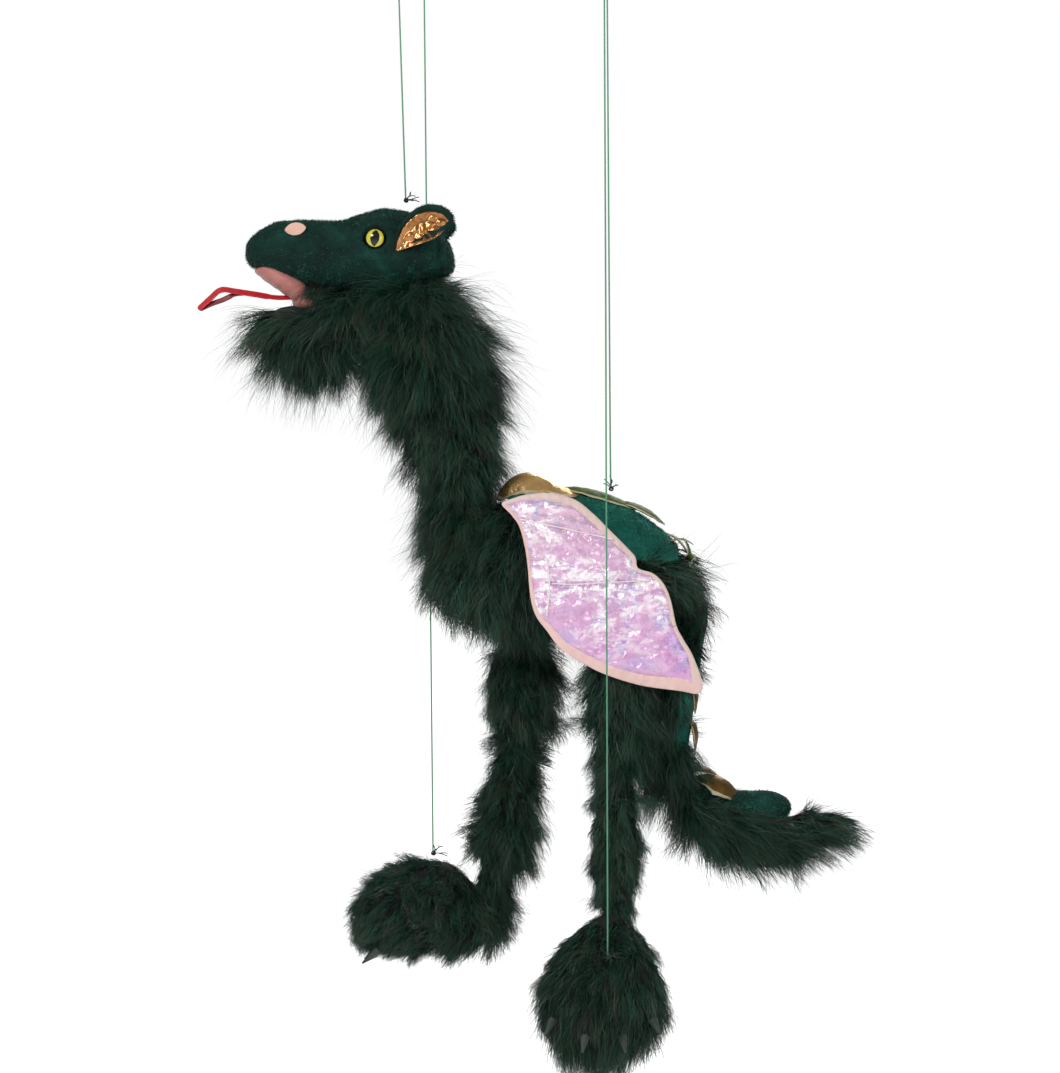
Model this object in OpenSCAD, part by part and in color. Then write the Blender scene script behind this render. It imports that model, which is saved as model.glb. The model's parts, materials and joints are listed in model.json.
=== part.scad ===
// String puppet of a winged dragon: a plush body that hangs from a wooden control on four strings.
// Millimetres. The dragon faces -X, its left side is towards -Y, +Z is up.
// The origin is the centre of the hanging hole in the control's handle.

/* [Control] */
// Length of the main bar, which carries the head string and the back string
main_bar_len = 200; // [184:1:240]
// Width of both bars
bar_w = 20; // [18:1:24]
// Thickness of both bars
bar_t = 10; // [8:1:12]
// Radius of the hanging hole in the handle
hang_r = 4; // [3:0.5:5]
// Thickness of the handle
handle_t = 8; // [6:1:10]
// Radius of the holes that the strings run through
string_hole_r = 3.6; // [3:0.1:4]

/* [Strings] */
// Diameter of the four strings
string_d = 1.2; // [1:0.1:1.6]
// Radius of the wooden beads that stop the strings above their holes
bead_r = 5; // [4:0.5:6]

/* [Head] */
// Diameter of the safety eyes
eye_d = 15; // [13:0.5:16]
// Thickness of the velvet pile and its backing
velvet_t = 2.5; // [2:0.5:3]
// Length of the leaf-shaped ears
ear_len = 40; // [34:1:44]

/* [Wings] */
// Distance of the wings' inner face from the middle plane
wing_y = 57; // [56.5:0.5:59]
// Thickness of the padded backing
wing_pad_t = 3; // [2:0.5:4]
// Width of the pale border round the film
border_w = 7; // [5:0.5:9]

/* [Feet] */
// Length of the claws
claw_len = 13; // [9:1:15]
// Radius of the weight sewn into each sole
weight_r = 13; // [10:1:15]

/* [Hidden] */
$fn = 48;

LEFT = -1;
RIGHT = 1;
gap = 0.3;                     // clearance between soft pieces

// Heights of the control
main_top = -64;
main_bottom = main_top - bar_t;
leg_bottom = main_bottom - bar_t;

// Where the strings pass the control
head_hole = [-83, 0, main_top];
back_hole = [76, 0, main_top];
left_hole = [73, -60, main_bottom];
right_hole = [-63, 52, main_bottom];
leg_bar_angle = atan2(left_hole[1] - right_hole[1], left_hole[0] - right_hole[0]);
leg_bar_len = norm(left_hole - right_hole) + 24;
head_slack = 4;                // how far the head string's bead stands off its bar
back_slack = 1.5;              // the same for the back string
leg_slack = 5;                 // the same for the leg strings
string_r = string_d / 2;
slot_reach = 6;                // how far the leg strings' holes are drawn out each way along X

// Routes of the strings, from the bead down to the thread tie
head_route = [
  [-83, 0, -60], [-82.5, 0, -75], [-82, 0, -90], [-81.5, 0, -105], [-81, 0, -120],
  [-80.5, 0, -135], [-80, 0, -150], [-79.5, 0, -165], [-79, 0, -180], [-78.5, 0, -195],
  [-78, 0, -210], [-77.5, 0, -225], [-77, 0, -240], [-76.5, 0, -255], [-76, 0, -270],
  [-75.5, 0, -285], [-75, 0, -300], [-74.5, 0, -315]
];
back_route = [
  [76, 0, -62.5], [76.2, 0, -90], [76.4, 0, -120], [76.6, 0, -150], [76.8, 0, -180],
  [77, 0, -210], [77.2, 0, -240], [77.4, 0, -270], [77.6, 0, -300], [77.8, 0, -330],
  [78, 0, -360], [78.2, 0, -390], [78.4, 0, -420], [78.6, 0, -450], [78.8, 0, -480],
  [79, 0, -505], [79.2, 0, -528]
];
left_route = [
  [73, -60, -69], [73.1, -62, -130], [73.2, -64, -185], [73.4, -66, -240], [73.6, -68, -295],
  [73.8, -70, -350], [74, -72, -405], [74.1, -74, -460], [74.2, -76, -515], [74.4, -78, -570],
  [74.5, -80, -620], [74.6, -82, -670], [74.7, -84, -720], [74.8, -86, -770], [74.9, -88, -820],
  [75, -90, -872]
];
right_route = [
  [-63, 52, -69], [-62.5, 51, -118], [-62, 50, -164], [-61.5, 49, -210], [-61, 48, -256],
  [-60.5, 47, -302], [-60, 46, -348], [-59.5, 45, -394], [-59, 44, -440], [-58.5, 43, -486],
  [-58, 42, -532], [-57.5, 41, -578], [-57, 40, -624], [-56.5, 39, -670], [-56, 38, -716],
  [-55.5, 37, -762], [-55, 36, -808]
];

// Joint centres
neck_base = [-40, 0, -556];
neck_top = [-62, 0, -392];
hip_y = 36;
left_hip = [82, -hip_y, -636];
left_knee = [82, -hip_y, -738.5];
left_ankle = [82, -hip_y, -841];
right_hip = [14, hip_y, -636];
right_knee = [8, hip_y, -734];
right_ankle = [-10, hip_y, -832];
wing_root = [14, 0, -546];
tail_root = [148, 0, -608];
tail_bend = [129, 0, -752];

// Rings of the soft forms: centre x, y, z, then half thickness and half width
head_rings = [
  [-194, 0, -358, 4, 7], [-192, 0, -358, 9, 13], [-188, 0, -357, 12, 18],
  [-181, 0, -355, 15.5, 22], [-170, 0, -353, 20.5, 25], [-157, 0, -354.5, 23.5, 26.5],
  [-140, 0, -357.5, 26.5, 27], [-124, 0, -359, 27.5, 28.5], [-108, 0, -357.5, 30.5, 31],
  [-90, 0, -355, 32, 34], [-74, 0, -355, 29, 34], [-60, 0, -358, 24, 31],
  [-50, 0, -363.5, 16.5, 25], [-43.5, 0, -368.5, 9.5, 16], [-40.5, 0, -371, 4, 8]
];
jaw_rings = [
  [-181, 0, -407, 3, 6], [-177, 0, -406.5, 8, 12], [-168, 0, -405.5, 12, 16],
  [-152, 0, -405, 13.5, 19], [-134, 0, -406, 15, 21], [-120, 0, -406, 13, 20],
  [-112, 0, -405, 7, 14], [-110, 0, -405, 3, 6]
];
neck_rings = [
  [-60.5, 0, -395, 6, 5], [-60, 0, -398.5, 20, 14], [-60, 0, -404, 31, 22],
  [-60, 0, -414, 40, 29], [-59, 0, -430, 43, 31], [-52, 0, -456, 39, 31],
  [-42, 0, -486, 34, 30], [-37, 0, -512, 31, 30], [-38, 0, -532, 25, 27],
  [-39, 0, -543, 16, 19], [-40, 0, -550, 8, 10], [-40, 0, -553, 3, 4]
];
torso_rings = [
  [-57, 0, -594, 6, 8], [-53, 0, -594, 16, 18], [-44, 0, -594, 25, 27],
  [-28, 0, -594, 33, 35], [-6, 0, -592, 46, 41], [14, 0, -587, 54, 44],
  [40, 0, -586, 52, 46], [66, 0, -587, 50, 46], [92, 0, -590, 42, 43],
  [112, 0, -594, 32, 37], [126, 0, -597, 22, 28], [134, 0, -599, 12, 16], [137, 0, -600, 5, 7]
];
left_thigh_rings = [
  [82, -36, -647.5, 8, 8], [82, -36, -651, 15, 13], [82, -36, -658, 20, 16],
  [82, -36, -672, 22, 17], [82, -36, -700, 20, 17], [82, -36, -716, 19, 16],
  [82, -36, -727, 14, 13], [82, -36, -734, 7, 7], [82, -36, -737, 2, 2]
];
left_shin_rings = [
  [82, -36, -740, 2, 2], [82, -36, -743, 7, 7], [82, -36, -750, 14, 13],
  [82, -36, -762, 19, 16], [82, -36, -790, 20, 17], [82, -36, -815, 19, 17],
  [82, -36, -828, 17, 15], [82, -36, -835, 11, 10], [82, -36, -839, 4, 4]
];
left_paw_rings = [
  [81.5, -37, -843, 5, 6], [81, -39, -848, 15, 18], [79, -44, -860, 25, 31],
  [76, -54, -876, 32, 41], [73, -63, -896, 34, 46], [71.5, -71, -916, 30, 46],
  [71, -77, -930, 22, 38], [71, -81, -940, 12, 24], [71, -83, -944, 4, 10]
];
right_thigh_rings = [
  [13.5, 36, -647.5, 8, 8], [13, 36, -651, 17, 13], [12.5, 36, -658, 25, 16],
  [12, 36, -672, 29, 18], [11, 36, -694, 27, 18], [10, 36, -711, 22, 17],
  [9, 36, -722, 15, 13], [8.3, 36, -729, 7, 7], [8, 36, -732, 2, 2]
];
right_shin_rings = [
  [7.8, 36, -736, 2, 2], [7, 36, -739, 7, 7], [5, 36, -746, 14, 13],
  [3, 36, -757, 21, 17], [0, 36, -775, 24, 18], [-3, 36, -795, 23, 18],
  [-6, 36, -812, 19, 17], [-8, 36, -822, 13, 12], [-9.5, 36, -829, 4, 4]
];
right_paw_rings = [
  [-108, 36, -866, 6, 9], [-105, 36, -865, 15, 19], [-98, 36, -862, 24, 28],
  [-84, 36, -856, 32, 35], [-66, 36, -850, 37, 38], [-48, 36, -850, 36, 38],
  [-32, 36, -856, 26, 32], [-18, 36, -862, 19, 25], [-7, 36, -865, 12, 16], [-2, 36, -866, 4, 6]
];
tail_upper_rings = [
  [150, 0, -612, 4, 4], [149, 0, -617, 10, 9], [145, 0, -628, 15, 14],
  [136, 0, -646, 20, 16], [125, 0, -672, 22, 17.5], [117, 0, -702, 21, 17.5],
  [118, 0, -726, 20, 16], [123, 0, -740, 14, 12], [127, 0, -748, 5, 5]
];
tail_tip_rings = [
  [131, 0, -755.5, 5, 5], [135, 0, -761, 14, 12], [145, 0, -771, 20, 17],
  [162, 0, -782, 22, 20], [184, 0, -789, 21, 20], [208, 0, -790, 18, 17],
  [230, 0, -786, 14, 14], [246, 0, -781, 9, 9], [256, 0, -777, 3, 3]
];
// Outline of a wing, in X and Z from its root
wing_outline = [
  [-16, 1], [-8, 5], [3, 8], [20, 9], [38, 4], [52, -7], [62, -17], [75, -30], [82, -38],
  [84, -46], [95, -50], [103, -58], [108, -70], [112, -88], [117, -98], [124, -110],
  [131, -130], [128, -138], [114, -136], [86, -132], [60, -124], [42, -115], [27, -105],
  [17, -92], [9, -81], [5, -67], [3, -45], [1, -31], [-3, -16], [-9, -7]
];
// Spine petals: x, z, pitch, roll, length and width
petals = [
  [-3, -537, 35, 0, 34, 34], [8, -531, 4, 14, 48, 36], [36, -534, -2, -12, 50, 32],
  [62, -537.5, -8, 12, 46, 26], [88, -544, -15, -10, 36, 17],
  [117, -565, -6, 12, 22, 12], [122, -571, -24, -14, 20, 11], [127, -577, -50, 8, 17, 9]
];
// Tail scales on the upper tail: x, z, pitch; and on the tip
upper_scales = [[131, -681, -52], [133.5, -703, -58], [136, -724, -68]];
tip_scales = [[158, -758, 12], [176, -765, 6], [196, -770, 2]];
claws_left = [[34, -93, -921, -24], [58, -101, -932, -9], [86, -101, -932, 9], [109, -93, -921, 24]];
claws_right = [[-97, 12, -882], [-100, 30, -886], [-99, 48, -885]];

// --- shapes that repeat ---

// Direction of a path at its point i
function heading(p, i) =
  let(a = p[max(i - 1, 0)], b = p[min(i + 1, len(p) - 1)]) (b - a) / norm(b - a);

// A closed form through elliptical rings; shrink takes a layer off its surface
module loft(rings, side = [0, 1, 0], shrink = 0, sides = 20) {
  centres = [for (r = rings) [r[0], r[1], r[2]]];
  count = len(rings);
  ring_points = [for (i = [0 : count - 1])
    let(t = heading(centres, i), u = unit_of(cross(t, side)), v = cross(u, t),
        a = max(rings[i][3] - shrink, 0.6), b = max(rings[i][4] - shrink, 0.6))
    for (k = [0 : sides - 1])
      centres[i] + u * a * cos(360 * k / sides) + v * b * sin(360 * k / sides)];
  polyhedron(ring_points, concat(
    [[for (k = [0 : sides - 1]) sides - 1 - k]],
    [for (i = [0 : count - 2], k = [0 : sides - 1])
      [i * sides + k, i * sides + (k + 1) % sides, (i + 1) * sides + (k + 1) % sides]],
    [for (i = [0 : count - 2], k = [0 : sides - 1])
      [i * sides + k, (i + 1) * sides + (k + 1) % sides, (i + 1) * sides + k]],
    [[for (k = [0 : sides - 1]) (count - 1) * sides + k]]));
}
function unit_of(v) = v / norm(v);

// Rings without the ones that are too small to hollow out
function inner(rings, cut) = [for (r = rings) if (r[3] > cut + 3 && r[4] > cut + 3) r];

// A thin round cord along its route
module cord(route) {
  loft([for (p = route) [p[0], p[1], p[2], string_r, string_r]], side = [0, 1, 0], sides = 8);
}

// A flat leaf, pointed at both ends, from the origin along +X
module leaf(length, width) {
  r = (length * length / 4 + width * width / 4) / width;
  translate([length / 2, 0])
    intersection() {
      translate([0, r - width / 2]) circle(r);
      translate([0, width / 2 - r]) circle(r);
    }
}

// A stop bead with its string's end against its flat underside
module bead(hole, lift) {
  translate([hole[0], hole[1], hole[2] + lift])
    rotate_extrude()
      intersection() {
        translate([0, bead_r - 1]) circle(bead_r);
        square([bead_r, 2 * bead_r - 2]);
      }
}

// A knot of thread with cut ends that stand up
tie_r = 1.8;

module thread_tie(route, spread, ends) {
  end = route[len(route) - 1];
  translate([end[0], end[1], end[2] - tie_r - gap]) {
    sphere(tie_r, $fn = 24);
    for (k = [0 : ends - 1])
      rotate([0, spread * (k / (ends - 1) - 0.5) + 60, 0])
        cylinder(r = 0.35, h = 9, $fn = 16);
  }
}

// --- control ---

module main_bar() {
  color("burlywood")
    difference() {
      translate([-main_bar_len / 2 - 3, -bar_w / 2, main_bottom]) cube([main_bar_len, bar_w, bar_t]);
      for (hole = [head_hole, back_hole])
        translate([hole[0], hole[1], main_bottom - 1]) cylinder(r = string_hole_r, h = bar_t + 2);
      translate([0, 0, main_bottom - 1]) cylinder(r = 2.05, h = bar_t + 2);
    }
}

module leg_bar() {
  middle = (left_hole + right_hole) / 2;
  color("burlywood")
    difference() {
      translate([middle[0], middle[1], leg_bottom])
        rotate([0, 0, leg_bar_angle])
          translate([-leg_bar_len / 2, -bar_w / 2, 0]) cube([leg_bar_len, bar_w, bar_t]);
      for (hole = [left_hole, right_hole])
        hull() for (reach = [-slot_reach, slot_reach])
          translate([hole[0] + reach, hole[1], leg_bottom - 1])
            cylinder(r = string_hole_r, h = bar_t + 2);
      translate([0, 0, leg_bottom - 1]) cylinder(r = 2.05, h = bar_t + 2);
    }
}

module handle() {
  half_w = 11;
  color("peru")
    difference() {
      union() {
        translate([-half_w, -handle_t / 2, main_top]) cube([2 * half_w, handle_t, -main_top]);
        rotate([90, 0, 0]) translate([0, 0, -handle_t / 2]) cylinder(r = half_w, h = handle_t);
      }
      rotate([90, 0, 0]) translate([0, 0, -handle_t]) cylinder(r = hang_r, h = 2 * handle_t);
      translate([0, 0, main_top - 1]) cylinder(r = 2.05, h = 25);
    }
}

module centre_screw() {
  color("silver") {
    translate([0, 0, leg_bottom - 2.5]) cylinder(r = 4.5, h = 2.5);
    translate([0, 0, leg_bottom - 1]) cylinder(r = 2, h = 2 * bar_t + 22);
  }
}

// --- body ---

velvet_edge = -583;            // height of the seam between the velvet and the fur

module body_shell() {
  difference() {
    loft(torso_rings, sides = 24);
    loft(inner(torso_rings, velvet_t), shrink = velvet_t, sides = 24);
  }
}

module body_stuffing() {
  color("ivory") loft(inner(torso_rings, velvet_t), shrink = velvet_t + gap, sides = 24);
}

module back_velvet() {
  color("darkgreen")
    intersection() {
      body_shell();
      translate([2, -100, velvet_edge + 0.1]) cube([126, 200, 80]);
    }
}

module belly_fur() {
  color("darkslategray")
    difference() {
      body_shell();
      translate([1.8, -100, velvet_edge]) cube([126.4, 200, 80]);
    }
}

module spine_crest() {
  color("goldenrod")
    for (p = petals)
      translate([p[0], 0, p[1]]) rotate([0, -p[2], 0]) rotate([p[3], 0, 0])
        translate([0, 0, 1]) linear_extrude(1.2) leaf(p[4], p[5]);
}

module back_tie() {
  color("black") thread_tie(back_route, 70, 5);
}

// The right wing's tab ends in a round fold that it flaps about
flap_y = 38;

module left_wing_tab() {
  sewn_y = 26;
  color("darkgreen")
    translate([wing_root[0], -sewn_y, wing_root[2]]) rotate([90, 0, 0])
      cylinder(r = 5, h = wing_y - gap - sewn_y);
}

module right_wing_tab() {
  color("darkgreen")
    translate([wing_root[0], flap_y, wing_root[2]]) {
      sphere(5);
      rotate([-90, 0, 0]) cylinder(r = 5, h = wing_y - gap - flap_y);
    }
}

// --- neck and head ---

neck_bore = 11;                // radius of the stuffing inside the neck sleeve

module neck_fur() {
  color("darkslategray")
    difference() {
      loft(neck_rings);
      loft(inner(neck_rings, neck_bore), shrink = neck_bore);
      translate([-60, 0, -420]) cylinder(r = 6, h = 40);
    }
}

module neck_core() {
  color("ivory") loft(inner(neck_rings, neck_bore), shrink = neck_bore + gap);
}

eye_at = [-96, 0, -348];
eye_y = 25;

module head_cover() {
  color("darkgreen")
    difference() {
      loft(head_rings, sides = 24);
      loft(inner(head_rings, velvet_t), shrink = velvet_t, sides = 24);
      translate([-80, 0, -395]) cylinder(r = 14, h = 20);
      for (side = [LEFT, RIGHT])
        translate([eye_at[0], side * 22, eye_at[2]]) rotate([-90 * side, 0, 0])
          cylinder(r = eye_d / 2 + 0.2, h = 20);
    }
}

module head_stuffing() {
  color("ivory")
    difference() {
      loft(inner(head_rings, velvet_t), shrink = velvet_t + gap, sides = 24);
      for (side = [LEFT, RIGHT])
        translate([eye_at[0], side * 12, eye_at[2]]) rotate([-90 * side, 0, 0])
          cylinder(r = eye_d / 2 + 0.2, h = 30);
    }
}

module eyes() {
  dome_r = 9.5;
  color("gold")
    for (side = [LEFT, RIGHT])
      translate([eye_at[0], side * eye_y, eye_at[2]]) rotate([-90 * side, 0, 0]) {
        intersection() {
          translate([0, 0, 1.5]) sphere(dome_r);
          cylinder(r = eye_d / 2, h = 20);
        }
        translate([0, 0, -10]) cylinder(r = 2, h = 12);
      }
}

module eye_washers() {
  color("white")
    for (side = [LEFT, RIGHT])
      translate([eye_at[0], side * (eye_y - 4), eye_at[2]]) rotate([-90 * side, 0, 0])
        difference() {
          cylinder(r = 6.5, h = 1.5);
          translate([0, 0, -1]) cylinder(r = 2.1, h = 4);
        }
}

module nostrils() {
  color("mistyrose")
    for (side = [LEFT, RIGHT])
      translate([-163.6, side * 22.3, -341.6]) rotate([-72 * side, -8, 0])
        linear_extrude(1.2) leaf(16, 10);
}

// A leaf-shaped ear, stood off the head's side and swept back
module on_ear(side) {
  translate([-77, side * 24, -337]) rotate([0, -14, 0]) rotate([-58 * side, 0, 8 * side])
    children();
}

module ear(side) {
  color("darkgreen") on_ear(side) linear_extrude(2.4) leaf(ear_len, 25);
}

module ear_linings() {
  color("chocolate")
    for (side = [LEFT, RIGHT])
      on_ear(side) translate([3, 0, 2.4]) linear_extrude(0.8) leaf(ear_len - 7, 18);
}

module mouth_lining() {
  color("pink") {
    translate([-188, 0, -366.5]) rotate([0, 31, 0])
      translate([0, -16, -7]) cube([38, 32, 4]);
    translate([-170, -12, -391]) cube([14, 24, 1.2]);
  }
}

module lower_jaw() {
  color("darkslategray")
    difference() {
      loft(jaw_rings);
      translate([-200, -50, -391]) cube([100, 100, 30]);
    }
}

tongue_w = 3.2;

// A ribbon that runs out of the mouth, opens and folds back on itself at the tip
module tongue() {
  color("red")
    translate([0, tongue_w / 2, 0]) rotate([90, 0, 0])
      linear_extrude(tongue_w)
        difference() {
          polygon([[-152, -389], [-181, -389.2], [-203, -386.6], [-212, -383.6], [-231, -398.8],
            [-214, -392.6], [-203, -389], [-181, -390.2], [-152, -390]]);
          polygon([[-204, -387.6], [-212, -384.8], [-226, -396], [-214, -391.4], [-204, -388.2]]);
        }
}

module beard_fur() {
  color("darkslategray")
    loft([[-176, 0, -417, 3, 10], [-168, 0, -421, 8, 15], [-150, 0, -426, 11, 19],
      [-132, 0, -428, 12, 20], [-120, 0, -426, 9, 17], [-114, 0, -424, 3, 8]]);
}

module head_tie() {
  color("black") thread_tie(head_route, 50, 4);
}

// --- wings ---

module wing_shape(inset) {
  translate([wing_root[0], wing_root[2]]) offset(delta = -inset) polygon(wing_outline);
}

// A layer of the wing, from y0 outward, on one side
module wing_layer(side, y0, thick) {
  translate([0, side > 0 ? y0 + thick : -y0, 0]) rotate([90, 0, 0])
    linear_extrude(thick) children();
}

module wing_backing(side) {
  color("mistyrose") wing_layer(side, wing_y, wing_pad_t) wing_shape(0);
}

module wing_film(side) {
  color("plum") wing_layer(side, wing_y + wing_pad_t, 1) wing_shape(border_w + gap);
}

module wing_border(side) {
  color("bisque")
    wing_layer(side, wing_y + wing_pad_t, 1.4)
      difference() {
        wing_shape(0);
        wing_shape(border_w);
      }
}

// --- legs ---

module hip_button(hip) {
  color("saddlebrown") translate(hip) sphere(9);
}

module left_paw() {
  color("darkslategray")
    difference() {
      loft(left_paw_rings, side = [1, 0, 0]);
      translate([76, -36, -893]) rotate([-62, 0, 0])
        translate([0, 0, -40]) cylinder(r = weight_r + 0.2, h = 40);
    }
}

module left_foot_weight() {
  color("dimgray") translate([76, -36, -893]) rotate([-62, 0, 0])
    translate([0, 0, -7]) cylinder(r = weight_r, h = 7);
}

module right_paw() {
  color("darkslategray")
    difference() {
      loft(right_paw_rings);
      translate([-55, 36, -920]) cylinder(r = weight_r + 0.2, h = 48);
    }
}

module right_foot_weight() {
  color("dimgray") translate([-55, 36, -880]) cylinder(r = weight_r, h = 7.5);
}

module claw() {
  cylinder(r1 = 3.4, r2 = 0.7, h = claw_len);
}

module left_claws() {
  color("lightgray")
    for (c = claws_left)
      translate([c[0], c[1], c[2]]) rotate([140, 0, 0]) rotate([0, c[3], 0])
        translate([0, 0, -3]) claw();
}

module right_claws() {
  color("lightgray")
    for (c = claws_right)
      translate([c[0], c[1], c[2]]) rotate([0, -128, 0]) translate([0, 0, -2]) claw();
}

// --- tail ---

module scale_leaf(s) {
  translate([s[0], 0, s[1]]) rotate([0, -s[2], 0])
    linear_extrude(1) leaf(26, 20);
}

module tail_velvet() {
  color("darkgreen")
    for (s = [0 : 5])
      translate([140 - s * 0.6, 0, -640 - s * 17]) rotate([0, 88, 0])
        linear_extrude(2) leaf(20, 18);
}

module tail_upper() {
  color("darkslategray") loft(tail_upper_rings);
}

module tail_scales() {
  color("goldenrod") {
    for (s = upper_scales) scale_leaf(s);
  }
}

module tail_tip() {
  color("darkslategray") loft(tail_tip_rings);
}

module tail_tip_velvet() {
  color("darkgreen") for (s = tip_scales) scale_leaf(s);
}

main_bar();
leg_bar();
handle();
centre_screw();
body_stuffing();
back_velvet();
belly_fur();
spine_crest();
back_tie();
color("green") cord(back_route);  // back_string
color("tan") bead(back_hole, back_slack);  // back_bead
left_wing_tab();
right_wing_tab();
neck_fur();
neck_core();
head_cover();
head_stuffing();
eyes();
eye_washers();
nostrils();
ear(LEFT);  // left_ear
ear(RIGHT);  // right_ear
ear_linings();
mouth_lining();
lower_jaw();
tongue();
beard_fur();
head_tie();
color("green") cord(head_route);  // head_string
color("tan") bead(head_hole, head_slack);  // head_bead
wing_film(LEFT);  // left_wing_film
wing_backing(LEFT);  // left_wing_backing
wing_border(LEFT);  // left_wing_border
wing_film(RIGHT);  // right_wing_film
wing_backing(RIGHT);  // right_wing_backing
wing_border(RIGHT);  // right_wing_border
hip_button(left_hip);  // left_hip_button
color("darkslategray") loft(left_thigh_rings);  // left_thigh
color("darkslategray") loft(left_shin_rings);  // left_shin
left_paw();
left_claws();
left_foot_weight();
color("black") thread_tie(left_route, 40, 2);  // left_foot_tie
color("green") cord(left_route);  // left_leg_string
color("tan") bead(left_hole, leg_slack);  // left_leg_bead
hip_button(right_hip);  // right_hip_button
color("darkslategray") loft(right_thigh_rings);  // right_thigh
color("darkslategray") loft(right_shin_rings);  // right_shin
right_paw();
right_claws();
right_foot_weight();
color("black") thread_tie(right_route, 40, 2);  // right_foot_tie
color("green") cord(right_route);  // right_leg_string
color("tan") bead(right_hole, leg_slack);  // right_leg_bead
tail_upper();
tail_velvet();
tail_scales();
tail_tip();
tail_tip_velvet();
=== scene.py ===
import json
import math

import bmesh
import bpy
import numpy as np
from mathutils import Euler, Matrix, Vector
from mathutils.geometry import delaunay_2d_cdt


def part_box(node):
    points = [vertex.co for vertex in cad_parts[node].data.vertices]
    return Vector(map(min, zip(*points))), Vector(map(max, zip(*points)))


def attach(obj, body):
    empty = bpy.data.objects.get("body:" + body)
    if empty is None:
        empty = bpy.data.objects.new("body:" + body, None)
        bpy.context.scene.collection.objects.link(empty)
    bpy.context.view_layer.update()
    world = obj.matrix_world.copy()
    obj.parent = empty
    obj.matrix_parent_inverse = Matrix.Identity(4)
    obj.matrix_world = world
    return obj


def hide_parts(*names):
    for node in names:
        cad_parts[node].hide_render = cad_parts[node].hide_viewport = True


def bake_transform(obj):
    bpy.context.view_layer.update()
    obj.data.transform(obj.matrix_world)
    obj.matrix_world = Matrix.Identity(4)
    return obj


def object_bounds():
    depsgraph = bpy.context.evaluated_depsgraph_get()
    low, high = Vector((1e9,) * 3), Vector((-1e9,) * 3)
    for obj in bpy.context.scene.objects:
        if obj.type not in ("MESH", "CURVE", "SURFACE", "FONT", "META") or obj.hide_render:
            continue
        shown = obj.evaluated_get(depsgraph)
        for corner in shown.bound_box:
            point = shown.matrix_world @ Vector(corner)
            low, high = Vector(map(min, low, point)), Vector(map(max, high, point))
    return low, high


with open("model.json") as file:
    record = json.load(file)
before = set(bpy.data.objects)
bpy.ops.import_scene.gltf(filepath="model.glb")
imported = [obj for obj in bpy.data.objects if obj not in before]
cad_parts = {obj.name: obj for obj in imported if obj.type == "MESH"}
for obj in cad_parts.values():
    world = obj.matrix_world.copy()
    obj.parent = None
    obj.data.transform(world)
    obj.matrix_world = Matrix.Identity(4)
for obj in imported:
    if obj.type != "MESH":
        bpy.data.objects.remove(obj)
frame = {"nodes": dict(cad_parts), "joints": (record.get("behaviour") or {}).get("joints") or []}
cad_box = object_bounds()
nodes = frame["nodes"]
joint = {j["name"]: np.array(j["pos_m"]) for j in frame["joints"]}
scene = bpy.context.scene
MM = 0.001
LEFT, RIGHT = -1, 1
SIDES = ((LEFT, "left"), (RIGHT, "right"))

# --- camera and strings ---

VIEW_HEIGHT = 0.80475
DISTANCE = 2.6
camera_data = bpy.data.cameras.new("camera")
camera_data.sensor_width = 36
camera_data.lens = 36 * DISTANCE / VIEW_HEIGHT
camera = bpy.data.objects.new("camera", camera_data)
camera.location = (0.01875, -DISTANCE, -0.5689)
camera.rotation_euler = (math.pi / 2, 0, 0)
scene.collection.objects.link(camera)
scene.camera = camera
scene.view_settings.view_transform = "Standard"

STRING_D = 1.2 * MM
ROUTES = {
    "head_string": [(-83 + 0.5 * i, 0, -60 - 15 * i) for i in range(18)],
    "back_string": [(76, 0, -62.5)]
    + [(76.2 + 0.2 * i, 0, -90 - 30 * i) for i in range(14)]
    + [(79, 0, -505), (79.3, 0, -532)],
    "left_leg_string": [
        (73, -60, -69), (73.1, -62, -130), (73.2, -64, -185), (73.4, -66, -240),
        (73.6, -68, -295), (73.8, -70, -350), (74, -72, -405), (74.1, -74, -460),
        (74.2, -76, -515), (74.4, -78, -570), (74.5, -80, -620), (74.6, -82, -670),
        (74.7, -84, -720), (74.8, -86, -770), (74.9, -88, -820), (75, -90, -872),
    ],
    "right_leg_string": [(-63, 52, -69)]
    + [(-62.5 + 0.5 * i, 51 - i, -118 - 46 * i) for i in range(16)],
}


def link(obj):
    scene.collection.objects.link(obj)
    return obj


def string_curve(name):
    data = bpy.data.curves.new(name + "_nylon", "CURVE")
    data.dimensions = "3D"
    data.bevel_depth = STRING_D / 2
    data.bevel_resolution = 2
    data.resolution_u = 3
    points = ROUTES[name]
    spline = data.splines.new("BEZIER")
    spline.bezier_points.add(len(points) - 1)
    for p, q in zip(spline.bezier_points, points):
        p.co = [v * MM for v in q]
        p.handle_left_type = p.handle_right_type = "AUTO"
    return link(bpy.data.objects.new(name + "_nylon", data))


strings = {name: string_curve(name) for name in ROUTES}


# --- materials ---


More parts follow.
